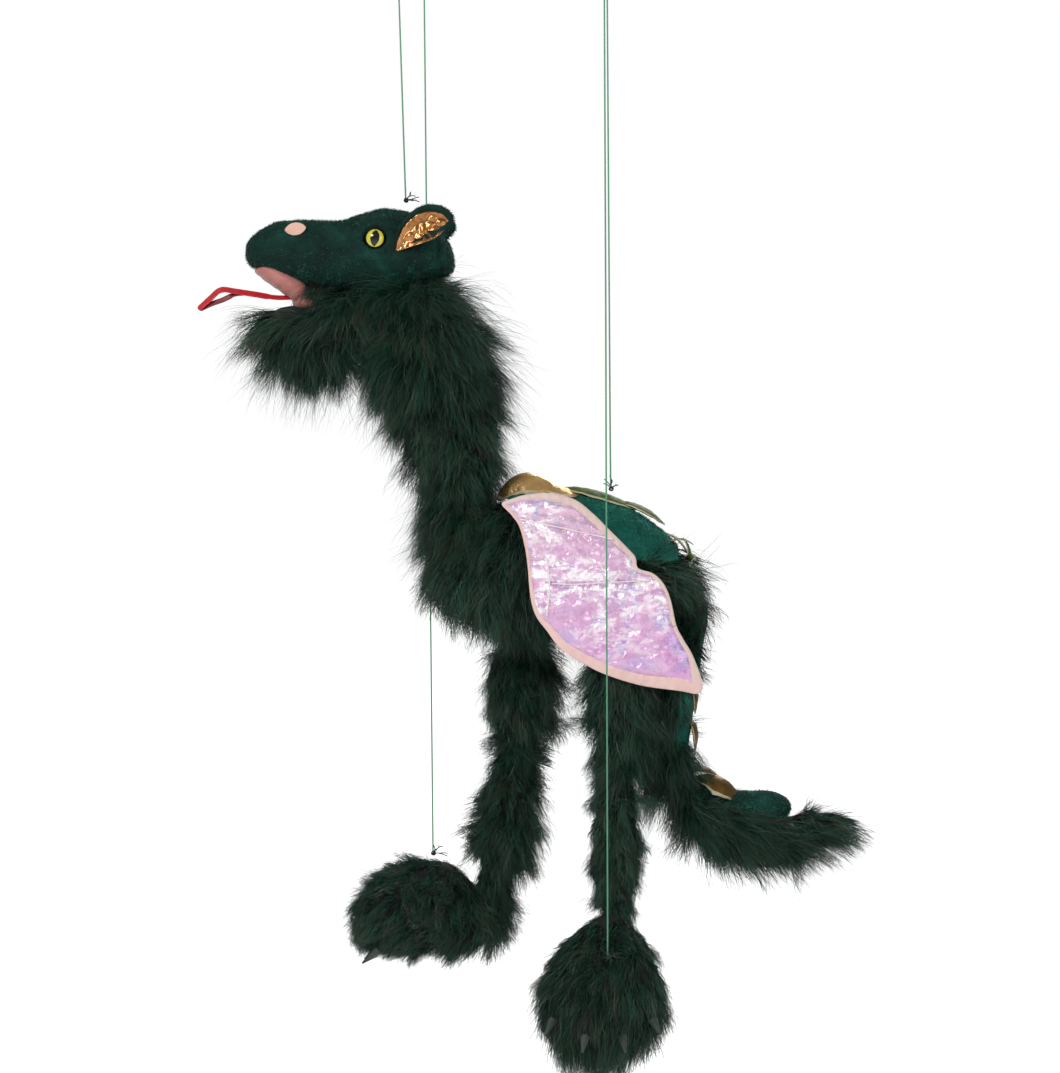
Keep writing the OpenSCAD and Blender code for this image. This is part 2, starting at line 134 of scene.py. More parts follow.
class Look:
    """A procedural material: its nodes, with short calls for the ones used most."""

    def __init__(self, name, **sockets):
        self.material = bpy.data.materials.new(name)
        self.material.use_nodes = True
        self.tree = self.material.node_tree
        self.shader = self.tree.nodes["Principled BSDF"]
        for key, value in sockets.items():
            self.shader.inputs[key.replace("_", " ")].default_value = value

    def node(self, kind, **values):
        n = self.tree.nodes.new(kind)
        for key, value in values.items():
            if hasattr(n, key):
                setattr(n, key, value)
            else:
                n.inputs[key.replace("_", " ")].default_value = value
        return n

    def coords(self, scale=(1, 1, 1), turn=(0, 0, 0)):
        source = self.node("ShaderNodeTexCoord")
        mapping = self.node("ShaderNodeMapping")
        mapping.inputs["Scale"].default_value = scale
        mapping.inputs["Rotation"].default_value = turn
        self.tree.links.new(source.outputs["Object"], mapping.inputs["Vector"])
        return mapping.outputs["Vector"]

    def noise(self, scale, detail=3, stretch=(1, 1, 1), rough=0.5, distortion=0.0):
        n = self.node("ShaderNodeTexNoise", Scale=scale, Detail=detail, Roughness=rough,
                      Distortion=distortion)
        self.tree.links.new(self.coords(stretch), n.inputs["Vector"])
        return n.outputs["Fac"]

    def cells(self, scale, stretch=(1, 1, 1), turn=(0, 0, 0)):
        n = self.node("ShaderNodeTexVoronoi", Scale=scale)
        self.tree.links.new(self.coords(stretch, turn), n.inputs["Vector"])
        return n.outputs["Distance"]

    def ramp(self, value, stops):
        n = self.node("ShaderNodeValToRGB")
        band = n.color_ramp
        while len(band.elements) < len(stops):
            band.elements.new(0.5)
        for e, (at, colour) in zip(band.elements, stops):
            e.position = at
            e.color = (*colour, 1) if len(colour) == 3 else colour
        self.tree.links.new(value, n.inputs["Fac"])
        return n.outputs["Color"]

    def mask(self, value, start, end, low=0.0, high=1.0):
        """A grey ramp from low at start to high at end."""
        return self.ramp(value, [(start, (low, low, low)), (end, (high, high, high))])

    def mix(self, fac, a, b):
        n = self.node("ShaderNodeMix")
        n.data_type = "RGBA"
        for socket, value in ((n.inputs[0], fac), (n.inputs[6], a), (n.inputs[7], b)):
            if isinstance(value, bpy.types.NodeSocket):
                self.tree.links.new(value, socket)
            else:
                socket.default_value = value if isinstance(value, float) else (*value, 1)
        return n.outputs[2]

    def span(self, value, low, high):
        n = self.node("ShaderNodeMapRange")
        n.inputs["To Min"].default_value = low
        n.inputs["To Max"].default_value = high
        self.tree.links.new(value, n.inputs["Value"])
        return n.outputs["Result"]

    def set(self, socket, value):
        self.tree.links.new(value, self.shader.inputs[socket])
        return self

    def bump(self, *layers):
        """Layers of (height, strength, distance), from the coarsest to the finest."""
        last = None
        for height, strength, distance in layers:
            n = self.node("ShaderNodeBump", Strength=strength, Distance=distance)
            self.tree.links.new(height, n.inputs["Height"])
            if last is not None:
                self.tree.links.new(last, n.inputs["Normal"])
            last = n.outputs["Normal"]
        return self.set("Normal", last)


def fur_look(name, colour, rough=(0.38, 0.6)):
    look = Look(name, Base_Color=(*colour, 1), Specular_IOR_Level=0.35)
    look.set("Roughness", look.span(look.noise(180), *rough))
    return look.material


FUR = {
    # root: near black, painted shade at the base of the pile, where the strands shade each other
    "root": fur_look("fur_root_shade", (0.001, 0.004, 0.003), (0.7, 0.9)),
    "deep": fur_look("fur_deep", (0.002, 0.009, 0.006)),
    "green": fur_look("fur_green", (0.006, 0.056, 0.031)),
    # grey: partly grey hairs among the green, partly painted highlight on strands that face the
    # light
    "grey": fur_look("fur_grey", (0.040, 0.086, 0.058)),
    "brown": fur_look("fur_brown", (0.036, 0.033, 0.025)),
}


def velvet_look(name, dark, mid, light):
    look = Look(name, Roughness=0.85, Sheen_Weight=0.35, Sheen_Roughness=0.4,
                Sheen_Tint=(*light, 1), Specular_IOR_Level=0.25)
    # the light tone, laid on in noise patches, is painted sheen; dark and mid are the velvet's own
    # green
    sheen_patches = look.ramp(look.noise(34, 4, rough=0.6, distortion=0.6),
                        [(0.3, dark), (0.52, mid), (0.75, light)])
    nap = look.noise(1500, 2)
    look.set("Base Color", look.mix(look.span(nap, 0.1, 0.55), sheen_patches, dark))
    look.bump((look.noise(60, 3), 0.35, 0.0012), (nap, 0.5, 0.0006))
    return look.material


velvet = velvet_look("velvet", (0.0004, 0.010, 0.007), (0.0015, 0.030, 0.022),
                     (0.008, 0.085, 0.062))
velvet_back = velvet_look("velvet_back", (0.001, 0.045, 0.033), (0.004, 0.12, 0.088),
                          (0.03, 0.25, 0.18))


def nap_looks(name, *colours):
    return [fur_look(f"{name}_{k}", colour, (0.6, 0.85)) for k, colour in enumerate(colours)]


# The first colour goes on the roots, painted shade; the two lightest, dealt out at random, are
# painted sheen.
NAP = nap_looks("velvet_nap", (0.001, 0.016, 0.010), (0.001, 0.034, 0.021),
                (0.003, 0.072, 0.045), (0.009, 0.14, 0.09), (0.03, 0.24, 0.165))
NAP_BACK = nap_looks("velvet_back_nap", (0.002, 0.08, 0.055), (0.005, 0.14, 0.10),
                     (0.014, 0.23, 0.165), (0.06, 0.34, 0.25), (0.12, 0.46, 0.35))

# Fur backing, near black so that gaps in the pile read as shadow: painted shade under the fur.
skin_look = Look("fur_backing_shade", Roughness=0.9)
skin_look.set("Base Color", skin_look.mix(skin_look.noise(220), (0.001, 0.004, 0.003),
                                          (0.004, 0.012, 0.009)))
skin_look.bump((skin_look.noise(300), 0.6, 0.001))
backing = skin_look.material


def film_material():
    look = Look("wing_film", Specular_IOR_Level=0.7, Coat_Weight=0.6, Coat_Roughness=0.14,
                Metallic=0.3)
    look.shader.inputs["Thin Film Thickness"].default_value = 430
    look.shader.inputs["Thin Film IOR"].default_value = 1.45
    tones = look.ramp(look.noise(20, 5, (1, 1, 1.2), 0.6, 1.0), [
        (0.30, (0.46, 0.34, 0.68)), (0.42, (0.68, 0.30, 0.58)), (0.52, (0.80, 0.42, 0.64)),
        (0.62, (0.58, 0.40, 0.68)), (0.74, (0.86, 0.52, 0.64))])
    # paler towards the top, as painted light, with the painted white highlights over the middle and
    # top
    place = look.node("ShaderNodeSeparateXYZ")
    look.tree.links.new(look.coords(), place.inputs["Vector"])
    up = look.node("ShaderNodeMapRange", From_Min=-0.68, From_Max=-0.55)
    look.tree.links.new(place.outputs["Z"], up.inputs["Value"])
    pale = look.mask(up.outputs["Result"], 0.25, 1.0, 0.0, 0.62)
    tones = look.mix(pale, tones, (0.86, 0.62, 0.66))
    cool = look.mask(look.noise(75, 3, (1, 1, 0.6)), 0.56, 0.70, 0.0, 0.6)
    tones = look.mix(cool, tones, (0.36, 0.46, 0.80))
    # white streaks in clusters, strongest towards the top: painted highlights of the crumpled film
    highlight_streaks = look.mask(look.noise(110, 5, (0.75, 1, 1.5), 0.74, 0.7), 0.46, 0.56)
    highlight_clusters = look.mask(look.noise(20, 2, (1, 1, 1), 0.5, 0.8), 0.38, 0.52)
    highlight_clusters = look.mix(look.mask(up.outputs["Result"], 0.08, 0.45, 0.1), (0, 0, 0), highlight_clusters)
    weave = look.cells(420, (2.4, 1, 0.7), (0, 0.7, 0))
    lines = look.mix(look.span(weave, 0.0, 0.5), tones, (0.44, 0.36, 0.70))
    look.set("Base Color", look.mix(look.mix(highlight_clusters, (0, 0, 0), highlight_streaks), lines,
                                    (0.98, 0.93, 0.97)))
    look.set("Roughness", look.span(look.noise(110), 0.16, 0.42))
    look.bump((look.cells(110, (1, 1, 1.4), (0, 0.5, 0)), 0.7, 0.0026),
              (look.noise(230, 4, rough=0.65), 0.6, 0.0012), (weave, 0.25, 0.0003))
    return look.material


def cloth_look(name, a, b, rough=0.7, sheen=0.3, weave=1400, metal=0.0, crinkle=0.3,
               specular=0.4):
    look = Look(name, Roughness=rough, Sheen_Weight=sheen, Metallic=metal,
                Specular_IOR_Level=specular)
    threads = look.cells(weave)
    look.set("Base Color", look.mix(look.noise(90, 4, rough=0.6), a, b))
    look.set("Roughness", look.span(look.noise(200), rough - 0.1, min(1.0, rough + 0.1)))
    look.bump((look.noise(75, 4), crinkle, 0.002), (threads, 0.3, 0.0003))
    return look.material


film = film_material()
peach = cloth_look("wing_border", (0.70, 0.42, 0.44), (0.76, 0.58, 0.48), 0.4, 0.2, 1400, 0.0, 0.5)
peach_back = cloth_look("wing_backing", (0.56, 0.36, 0.33), (0.66, 0.46, 0.42), 0.75, 0.3)
beige_edge = cloth_look("wing_top_edge", (0.64, 0.46, 0.44), (0.72, 0.58, 0.50), 0.5, 0.2)
vein = cloth_look("wing_seam", (0.74, 0.62, 0.66), (0.86, 0.78, 0.80), 0.4, 0.1)
gold = cloth_look("lame_gold", (0.42, 0.22, 0.05), (0.90, 0.60, 0.26), 0.3, 0.0, 1600, 0.8, 0.8)
olive = cloth_look("lame_olive", (0.035, 0.07, 0.01), (0.10, 0.15, 0.03), 0.6, 0.0, 1600, 0.2,
                   0.6, 0.25)
bronze = cloth_look("lame_bronze", (0.03, 0.035, 0.006), (0.26, 0.13, 0.03), 0.36, 0.0, 1600,
                    0.75, 0.7)
beige = cloth_look("raw_edge", (0.40, 0.34, 0.22), (0.56, 0.50, 0.34), 0.8, 0.2)
foil = cloth_look("ear_foil", (0.18, 0.055, 0.01), (0.66, 0.33, 0.13), 0.2, 0.0, 1700, 0.9, 0.9)
felt = cloth_look("felt", (0.62, 0.36, 0.28), (0.76, 0.50, 0.40), 0.95, 0.3, 1100)
satin = cloth_look("mouth_satin", (0.28, 0.08, 0.07), (0.50, 0.20, 0.17), 0.45, 0.2, 1500)
ribbon = cloth_look("tongue_ribbon", (0.34, 0.002, 0.006), (0.60, 0.008, 0.02), 0.35, 0.2, 2200,
                    0.0, 0.4)
ribbon_dark = cloth_look("tongue_ribbon_back", (0.10, 0.001, 0.003), (0.22, 0.004, 0.01), 0.4,
                         0.2, 2200, 0.0, 0.4)
thread = cloth_look("thread", (0.002, 0.006, 0.006), (0.012, 0.03, 0.026), 0.7, 0.2, 2600)
nylon = cloth_look("string_nylon", (0.06, 0.23, 0.12), (0.10, 0.31, 0.18), 0.35, 0.0, 2600)
# near black: painted shade of the fur over the claws, whose felt is paler
claw = cloth_look("claw_felt_shaded", (0.010, 0.018, 0.014), (0.05, 0.066, 0.054), 0.6, 0.2)
button = cloth_look("button", (0.05, 0.03, 0.02), (0.10, 0.07, 0.05), 0.35, 0.0)
steel = cloth_look("weight_steel", (0.30, 0.30, 0.31), (0.42, 0.42, 0.43), 0.35, 0.0, 900, 1.0, 0.1)
washer = cloth_look("washer", (0.80, 0.80, 0.78), (0.90, 0.90, 0.88), 0.5, 0.0)


def wood_look(name, dark, light, grain):
    look = Look(name, Roughness=0.5, Coat_Weight=0.15, Coat_Roughness=0.3)
    lines = look.noise(70, 6, grain, 0.65, 0.8)
    look.set("Base Color", look.mix(look.span(look.noise(700, 2, grain), 0.0, 0.5),
                                    look.ramp(lines, [(0.35, dark), (0.6, light)]), dark))
    look.set("Roughness", look.span(lines, 0.38, 0.62))
    look.bump((lines, 0.25, 0.0006))
    return look.material


bar_wood = wood_look("bar_wood", (0.42, 0.25, 0.11), (0.68, 0.46, 0.25), (0.12, 1, 1))
leg_bar_wood = wood_look("leg_bar_wood", (0.42, 0.25, 0.11), (0.68, 0.46, 0.25), (0.2, 0.35, 1))
grip_wood = wood_look("grip_wood", (0.20, 0.10, 0.04), (0.40, 0.22, 0.10), (1, 1, 0.15))
bead_wood = wood_look("bead_wood", (0.38, 0.21, 0.09), (0.62, 0.40, 0.2), (1, 1, 0.3))


def eye_look(name, rough, **sockets):
    look = Look(name, Coat_Roughness=0.02, **sockets)
    look.set("Roughness", look.span(look.noise(300), *rough))
    return look


iris = eye_look("eye_yellow", (0.15, 0.3), Coat_Weight=1.0, Specular_IOR_Level=0.6)
iris.set("Base Color", iris.mix(iris.noise(500, 4), (0.46, 0.40, 0.008), (0.70, 0.62, 0.02)))
eye_yellow = iris.material
eye_black = eye_look("eye_black", (0.1, 0.2), Base_Color=(0.004, 0.004, 0.004, 1),
                     Coat_Weight=0.15).material


# --- mesh tools ---


def mesh_object(name, verts, faces, materials, which=None, smooth=True):
    data = bpy.data.meshes.new(name)
    data.from_pydata([tuple(v) for v in verts], [], faces)
    for m in materials:
        data.materials.append(m)
    if which is not None:
        data.polygons.foreach_set("material_index", np.asarray(which, np.int32))
    data.polygons.foreach_set("use_smooth", [smooth] * len(data.polygons))
    data.update()
    return link(bpy.data.objects.new(name, data))


def coords_of(obj):
    co = np.zeros(len(obj.data.vertices) * 3)
    obj.data.vertices.foreach_get("co", co)
    return co.reshape(-1, 3)


def set_coords(obj, co):
    obj.data.vertices.foreach_set("co", np.asarray(co, np.float32).ravel())
    obj.data.update()


def swell(obj, amount):
    """Moves every point along its normal, by one amount or one for each."""
    set_coords(obj, coords_of(obj) + normals_of(obj) * amount)


def paint(obj, material):
    obj.data.materials.clear()
    obj.data.materials.append(material)


def normals_of(obj):
    no = np.zeros(len(obj.data.vertices) * 3)
    obj.data.vertices.foreach_get("normal", no)
    return no.reshape(-1, 3)


def baked(obj):
    """Applies obj's modifiers to a new mesh."""
    graph = bpy.context.evaluated_depsgraph_get()
    data = bpy.data.meshes.new_from_object(obj.evaluated_get(graph))
    obj.modifiers.clear()
    obj.data = data
    data.polygons.foreach_set("use_smooth", [True] * len(data.polygons))
    return obj


def soft_form(name, names, fills, material, voxel=0.0035, passes=8, inset=0.0):
    """One smooth closed form over CAD solids and round fills, drawn in by inset."""
    bm = bmesh.new()
    for n in names:
        bm.from_mesh(nodes[n].data)
    for centre, size in fills:
        bmesh.ops.create_icosphere(
            bm, subdivisions=3, radius=1,
            matrix=Matrix.Translation(Vector(centre)) @ Matrix.Diagonal((*size, 1)))
    data = bpy.data.meshes.new(name)
    bm.to_mesh(data)
    bm.free()
    obj = link(bpy.data.objects.new(name, data))
    remesh = obj.modifiers.new("remesh", "REMESH")
    remesh.mode = "VOXEL"
    remesh.voxel_size = voxel
    smooth = obj.modifiers.new("smooth", "SMOOTH")
    smooth.iterations = passes
    baked(obj)
    paint(obj, material)
    swell(obj, -inset)
    return obj


def part_of(obj, name, keep):
    """A new object with the faces of obj whose centre keep(centres) picks."""
    data = obj.data
    centres = np.zeros(len(data.polygons) * 3)
    data.polygons.foreach_get("center", centres)
    picked = keep(centres.reshape(-1, 3))
    bm = bmesh.new()
    bm.from_mesh(data)
    bm.faces.ensure_lookup_table()
    bmesh.ops.delete(bm, geom=[f for f, k in zip(bm.faces, picked) if not k], context="FACES")
    made = bpy.data.meshes.new(name)
    bm.to_mesh(made)
    bm.free()
    for m in data.materials:
        made.materials.append(m)
    return link(bpy.data.objects.new(name, made))


def discard(obj):
    bpy.data.objects.remove(obj)


def unit(v):
    return v / np.maximum(np.linalg.norm(v, axis=-1, keepdims=True), 1e-9)


def tube(path, radius, sides=6):
    """Vertices and faces of a round tube along a path; radius may be one per point."""
    path = np.asarray(path, float)
    radius = np.broadcast_to(radius, len(path))
    t = unit(np.gradient(path, axis=0))
    up = np.array([0.0, 1.0, 0.0]) if abs(t[0][1]) < 0.9 else np.array([1.0, 0.0, 0.0])
    verts, faces = [], []
    for i, p in enumerate(path):
        u = unit(np.cross(t[i], up))
        v = np.cross(u, t[i])
        for k in range(sides):
            a = 2 * math.pi * k / sides
            verts.append(p + radius[i] * (u * math.cos(a) + v * math.sin(a)))
    for i in range(len(path) - 1):
        for k in range(sides):
            a, b = i * sides + k, i * sides + (k + 1) % sides
            faces.append((a, b, b + sides, a + sides))
    faces.append(tuple(range(sides))[::-1])
    faces.append(tuple(range(len(verts) - sides, len(verts))))
    return verts, faces


def joined(parts):
    verts, faces = [], []
    for v, f in parts:
        base = len(verts)
        verts.extend(v)
        faces.extend(tuple(i + base for i in face) for face in f)
    return verts, faces


def near_line(p, line):
    """Each 2-D point's distance to a line of corners, the length along it, and the spot."""
    gap, along, spot = np.full(len(p), 1e9), np.zeros(len(p)), np.zeros((len(p), 2))
    run = 0.0
    for a, b in zip(line[:-1], line[1:]):
        a, b = np.array(a, float), np.array(b, float)
        long = np.linalg.norm(b - a)
        t = np.clip(((p - a) @ (b - a)) / max(long * long, 1e-9), 0, 1)
        q = a + t[:, None] * (b - a)
        d = np.linalg.norm(p - q, axis=1)
        closer = d < gap
        gap, along = np.where(closer, d, gap), np.where(closer, run + t * long, along)
        spot = np.where(closer[:, None], q, spot)
        run += long
    return gap, along, spot


def smooth_line(corners, step, closed=False):
    """Points every step or so on a smooth curve through the corners."""
    c = [np.array(v, float) for v in corners]
    c = [c[-1]] + c + c[:2] if closed else [2 * c[0] - c[1]] + c + [2 * c[-1] - c[-2]]
    out = []
    for i in range(1, len(c) - 2):
        count = max(1, round(float(np.linalg.norm(c[i + 1] - c[i])) / step))
        for t in np.arange(count) / count:
            out.append(0.5 * ((2 * c[i]) + (c[i + 1] - c[i - 1]) * t
                              + (2 * c[i - 1] - 5 * c[i] + 4 * c[i + 1] - c[i + 2]) * t * t
                              + (3 * c[i] - c[i - 1] - 3 * c[i + 1] + c[i + 2]) * t ** 3))
    if not closed:
        out.append(c[-2])
    return np.array(out)


def facets(p, spacing, seed):
    """A crumpled pattern over points: 1 in the middle of each patch, 0 in its creases."""
    rng = np.random.default_rng(seed)
    low, high = p.min(0) - spacing, p.max(0) + spacing
    spots = rng.uniform(low, high, (int(np.prod((high - low) / spacing)), p.shape[1]))
    out = np.zeros(len(p))
    for i in range(0, len(p), 1000):
        d = np.linalg.norm(p[i:i + 1000, None] - spots[None], axis=2)
        d = np.partition(d, 1, axis=1)
        out[i:i + 1000] = np.clip((d[:, 1] - d[:, 0]) / spacing, 0, 1)
    return out


def thickened(obj, thick, back=0, rim=0):
    """Gives a sheet its thickness in mm; back and rim are steps on in its materials."""
    solid = obj.modifiers.new("thickness", "SOLIDIFY")
    solid.thickness = thick * MM
    solid.offset = 0
    solid.material_offset = back
    solid.material_offset_rim = rim
    return baked(obj)


def quads(rows, cols):
    """The faces of a grid of rows by cols, whose points run along each row first."""
    return [(k, k + 1, k + cols + 2, k + cols + 1)
            for i in range(rows) for k in range(i * (cols + 1), i * (cols + 1) + cols)]


def leaf(name, a, b, c, half, up, materials, cup=0.0, thick=0.5, rows=22, cols=12, sharp=0.75,
         band=0.84, crinkle=0.6, seed=1, blunt=1.0):
    """A thin cloth leaf, in mm, on a curve from a towards b to c; up is the side its face
    turns to. Its outer band is cut edge. materials: face, back and edge."""
    a, b, c, up = (np.array(v, float) for v in (a, b, c, up))
    t = np.linspace(0, 1, rows + 1)[:, None]
    mid = a * (1 - t) ** 2 + b * 2 * t * (1 - t) + c * t * t
    ahead = unit(np.gradient(mid, axis=0))
    across = unit(np.cross(up, ahead))
    out = np.cross(ahead, across)
    wide = half * np.sin(math.pi * np.clip(t, 0.012, 0.988) ** blunt) ** sharp
    s = np.linspace(-1, 1, cols + 1)
    verts = (mid[:, None] + across[:, None] * (s[None, :, None] * wide[:, :, None])
             - out[:, None] * (cup * (s ** 2)[None, :, None] * (wide / half)[:, :, None]))
    flat = verts.reshape(-1, 3)
    wave = facets(flat, half * 0.55, seed) - 0.4
    verts = flat + np.repeat(out, cols + 1, axis=0) * (wave * crinkle)[:, None]
    which = [2 if max(abs(s[j]), abs(s[j + 1])) > band or i in (0, rows - 1) else 0
             for i in range(rows) for j in range(cols)]
    obj = mesh_object(name, verts * MM, quads(rows, cols), materials, which)
    return thickened(obj, thick, back=1, rim=2)


def cut_from(obj):
    """Reads the area of each face of a leaf; nothing is done with it."""
    sizes = np.zeros(len(obj.data.polygons))
    obj.data.polygons.foreach_get("area", sizes)


# --- fur ---

# hairs that would pass the CAD box by 3 % of a side and 9 mm are left out
ROOM = 0.03 * (np.array(cad_box[1]) - np.array(cad_box[0])) + 0.009
LOW, HIGH = np.array(cad_box[0]) - ROOM, np.array(cad_box[1]) + ROOM
DOWN = np.array([0.0, 0.0, -1.0])
# hairs between the wings stay within WING_GAP of the middle plane
WING_LOW, WING_HIGH = (-0.004, -1, -0.692), (0.148, 1, -0.535)
WING_GAP = 0.0545
STRAY_LONGER = 1.42                      # a stray hair's length beside the others
TUFT = 110                               # strands that lie the same way
LOCKS = ((95, 0.5, 1.5), (15, 1.0, 1.1))   # strands in a lock, its pull, how late it acts


def surface_points(obj, count, rng):
    """Points spread evenly over a mesh, with its outward normals."""
    data = obj.data
    data.calc_loop_triangles()
    tris = np.zeros(len(data.loop_triangles) * 3, np.int64)
    data.loop_triangles.foreach_get("vertices", tris)
    tris = tris.reshape(-1, 3)
    co, no = coords_of(obj), normals_of(obj)
    a, b, c = co[tris[:, 0]], co[tris[:, 1]], co[tris[:, 2]]
    area = np.linalg.norm(np.cross(b - a, c - a), axis=1)
    pick = rng.choice(len(tris), count, p=area / area.sum())
    u, v = rng.random((count, 1)), rng.random((count, 1))
    flip = (u + v) > 1
    u, v = np.where(flip, 1 - u, u), np.where(flip, 1 - v, v)
    w = 1 - u - v
    at = a[pick] * w + b[pick] * u + c[pick] * v
    n = unit(no[tris[pick, 0]] * w + no[tris[pick, 1]] * u + no[tris[pick, 2]] * v)
    return at, n


def strands(p, n, size, lie, stray, rng, lift, droop, clump, frizz, steps, ruffle):
    """Middle lines of strands from the roots p, and a tone for each. They lean along their
    lie, droop, gather into locks and wave."""
    count = len(p)
    lie = lie - n * (lie * n).sum(1, keepdims=True) * 0.7
    # tufts turn a little this way and that
    tufts = rng.choice(count, max(1, count // TUFT), replace=False)
    lie = unit(lie) + rng.normal(0, ruffle, (len(tufts), 3))[nearest_of(p, p[tufts])]
    raise_by = lift * rng.uniform(0.5, 1.5, (count, 1)) * np.where(stray, 1.7, 1.0)[:, None]
    first = unit(unit(lie) + n * raise_by + rng.normal(0, 0.22, (count, 3)))
    last = unit(first * (1 - droop) + (unit(lie) * 0.4 + DOWN * 0.6) * droop
                + rng.normal(0, 0.16, (count, 3)))
    path = np.zeros((count, steps + 1, 3))
    path[:, 0] = p
    for k in range(steps):
        s = (k + 0.5) / steps
        path[:, k + 1] = path[:, k] + unit(first * (1 - s) + last * s) * (size / steps)[:, None]
    # each strand leans towards the guide of its lock, and the locks towards a larger one
    tone = rng.random(count)
    for each, share, power in LOCKS:
        guides = rng.choice(count, max(1, count // each), replace=False)
        nearest = guides[nearest_of(p, p[guides])]
        pull = np.where(stray, 0.12, clump * share) * rng.uniform(0.5, 1.1, count)
        for k in range(1, steps + 1):
            w = np.clip(pull * (k / steps) ** power, 0, 0.95)[:, None]
            path[:, k] = path[:, k] * (1 - w) + path[nearest, k] * w
        tone = 0.5 * tone + 0.5 * rng.random(count)[nearest]
    side = unit(np.cross(first, rng.normal(0, 1, (count, 3))))
    other = np.cross(first, side)
    wave, turn = rng.uniform(0.5, 1.5, count), rng.uniform(0, 2 * math.pi, count)
    high = rng.uniform(0.3, 1.7, count) * frizz * MM
    for k in range(1, steps + 1):
        s = k / steps
        a = 2 * math.pi * wave * s + turn
        path[:, k] += (side * np.cos(a)[:, None] + other * np.sin(a)[:, None]) \
            * (high * s)[:, None]
    return path, tone


def ribbons(name, path, stray, tone, rng, width, shades, looks):
    """A mesh of flat ribbons along the paths, which narrow to a point."""
    count, steps = len(path), path.shape[1] - 1
    along = unit(np.gradient(path, axis=1))
    facing = unit(np.cross(along, rng.normal(0, 1, (count, 1, 3))))
    half = width * MM / 2 * rng.uniform(0.6, 1.25, (count, 1, 1)) \
        * np.where(stray, 0.7, 1.0)[:, None, None]
    taper = (1 - (np.arange(steps + 1) / steps) ** 1.5)[None, :, None] * 0.8 + 0.2
    wide = facing * half * taper
    corners = 2 * steps + 1
    verts = np.zeros((count, corners, 3))
    verts[:, 0:-1:2] = (path - wide)[:, :-1]
    verts[:, 1:-1:2] = (path + wide)[:, :-1]
    verts[:, -1] = path[:, -1]
    loops = []
    for k in range(steps - 1):
        loops += [2 * k, 2 * k + 1, 2 * k + 3, 2 * k + 2]
    loops += [2 * steps - 2, 2 * steps - 1, 2 * steps]
    base = np.arange(count)[:, None]
    data = bpy.data.meshes.new(name)
    for group, each, key, values in (
        (data.vertices, corners, "co", verts.astype(np.float32)),
        (data.loops, len(loops), "vertex_index", np.int32(np.array(loops) + base * corners)),
        (data.polygons, steps, "loop_start", np.int32(np.arange(steps) * 4 + base * len(loops))),
    ):
        group.add(count * each)
        group.foreach_set(key, values.ravel())
    for m in looks:
        data.materials.append(m)
    # the looks after the first are dealt out by tone, in the shares that shades gives
    share = np.cumsum(np.array(shades, float) / sum(shades))
    order = tone.argsort().argsort() / max(1, count)
    tint = 1 + np.searchsorted(share[:-1], order, "right")
    # The first step of every strand keeps the first look, near black: painted shade at the roots,
    # where the pile shades itself.
    index = np.zeros((count, steps), np.int32)
    # Just above it, grey and brown strands stay green, so each strand darkens towards its root.
    index[:, 1:] = np.minimum(tint, 2)[:, None]
    index[:, max(1, steps // 2 - 1):] = tint[:, None]
    data.polygons.foreach_set("material_index", index.ravel())
    data.polygons.foreach_set("use_smooth", np.ones(count * steps, bool))
    data.update(calc_edges=True)
    return link(bpy.data.objects.new(name, data))


def grow(name, obj, count, length, seed, comb, lift=0.45, droop=0.5, clump=0.68, frizz=2.4,
         width=0.38, steps=6, keep=None, shades=(26, 34, 26, 14), strays=0.14, ruffle=0.5,
         looks=tuple(FUR.values())):
    """Long pile on a mesh: tapered strands that lean, droop and gather into locks.
    length is in metres, or a function of the roots; comb gives each root's lie."""
    rng = np.random.default_rng(seed)
    p, n = surface_points(obj, count, rng)
    if keep is not None:
        ok = keep(p, n)
        p, n = p[ok], n[ok]
    size = length(p, n) if callable(length) else np.full(len(p), length)
    size = size * rng.uniform(0.6, 1.12, len(p))
    stray = rng.random(len(p)) < strays
    path, tone = strands(p, n, np.where(stray, size * STRAY_LONGER, size), comb(p, n), stray,
                         rng, lift, droop, clump, frizz, steps, ruffle)
    by_wing = ((path > WING_LOW) & (path < WING_HIGH)).all(2)
    path[..., 1] = np.where(by_wing, np.clip(path[..., 1], -WING_GAP, WING_GAP), path[..., 1])
    inside = ((path > LOW) & (path < HIGH)).all((1, 2))
    return ribbons(name, path[inside], stray[inside], tone[inside], rng, width, shades, looks)


def nearest_of(points, targets):
    """For each point, the index of the closest target."""
    found = np.zeros(len(points), int)
    square = (targets ** 2).sum(1)
    for i in range(0, len(points), 4000):
        found[i:i + 4000] = (square - 2 * points[i:i + 4000] @ targets.T).argmin(1)
    return found


def coat(name, obj, count, length, seed, comb, lift=0.45, **more):
    """A short dense undercoat and the long pile over it."""
    def short(p, n):
        return (length(p, n) if callable(length) else np.full(len(p), length)) * 0.62
    return [grow(name + "_under", obj, int(count * 0.5), short, seed + 500, comb, lift * 0.8,
                 width=0.85, steps=3, frizz=0.8, **more),
            grow(name, obj, count, length, seed, comb, lift, **more)]


def nap(name, obj, count, length, seed, comb, looks, **more):
    """The short dense pile of velvet."""
    return grow(name, obj, count, length, seed, comb, looks=looks, **{
        "lift": 1.1, "droop": 0.1, "clump": 0.25, "frizz": 0.15, "width": 0.32, "steps": 2,
        "strays": 0.03, **more})


def hang(*objs, on, start=None, end=None, slot="long_fur"):
    """Rides objs on one body; given two, it only sets their points in place."""
    for o in objs:
        if isinstance(on, str):
            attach(o, on)
        else:
            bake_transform(o)


def downwards(side=0.0, fore=0.0):
    return lambda p, n: np.tile([fore, side, -1.0], (len(p), 1))


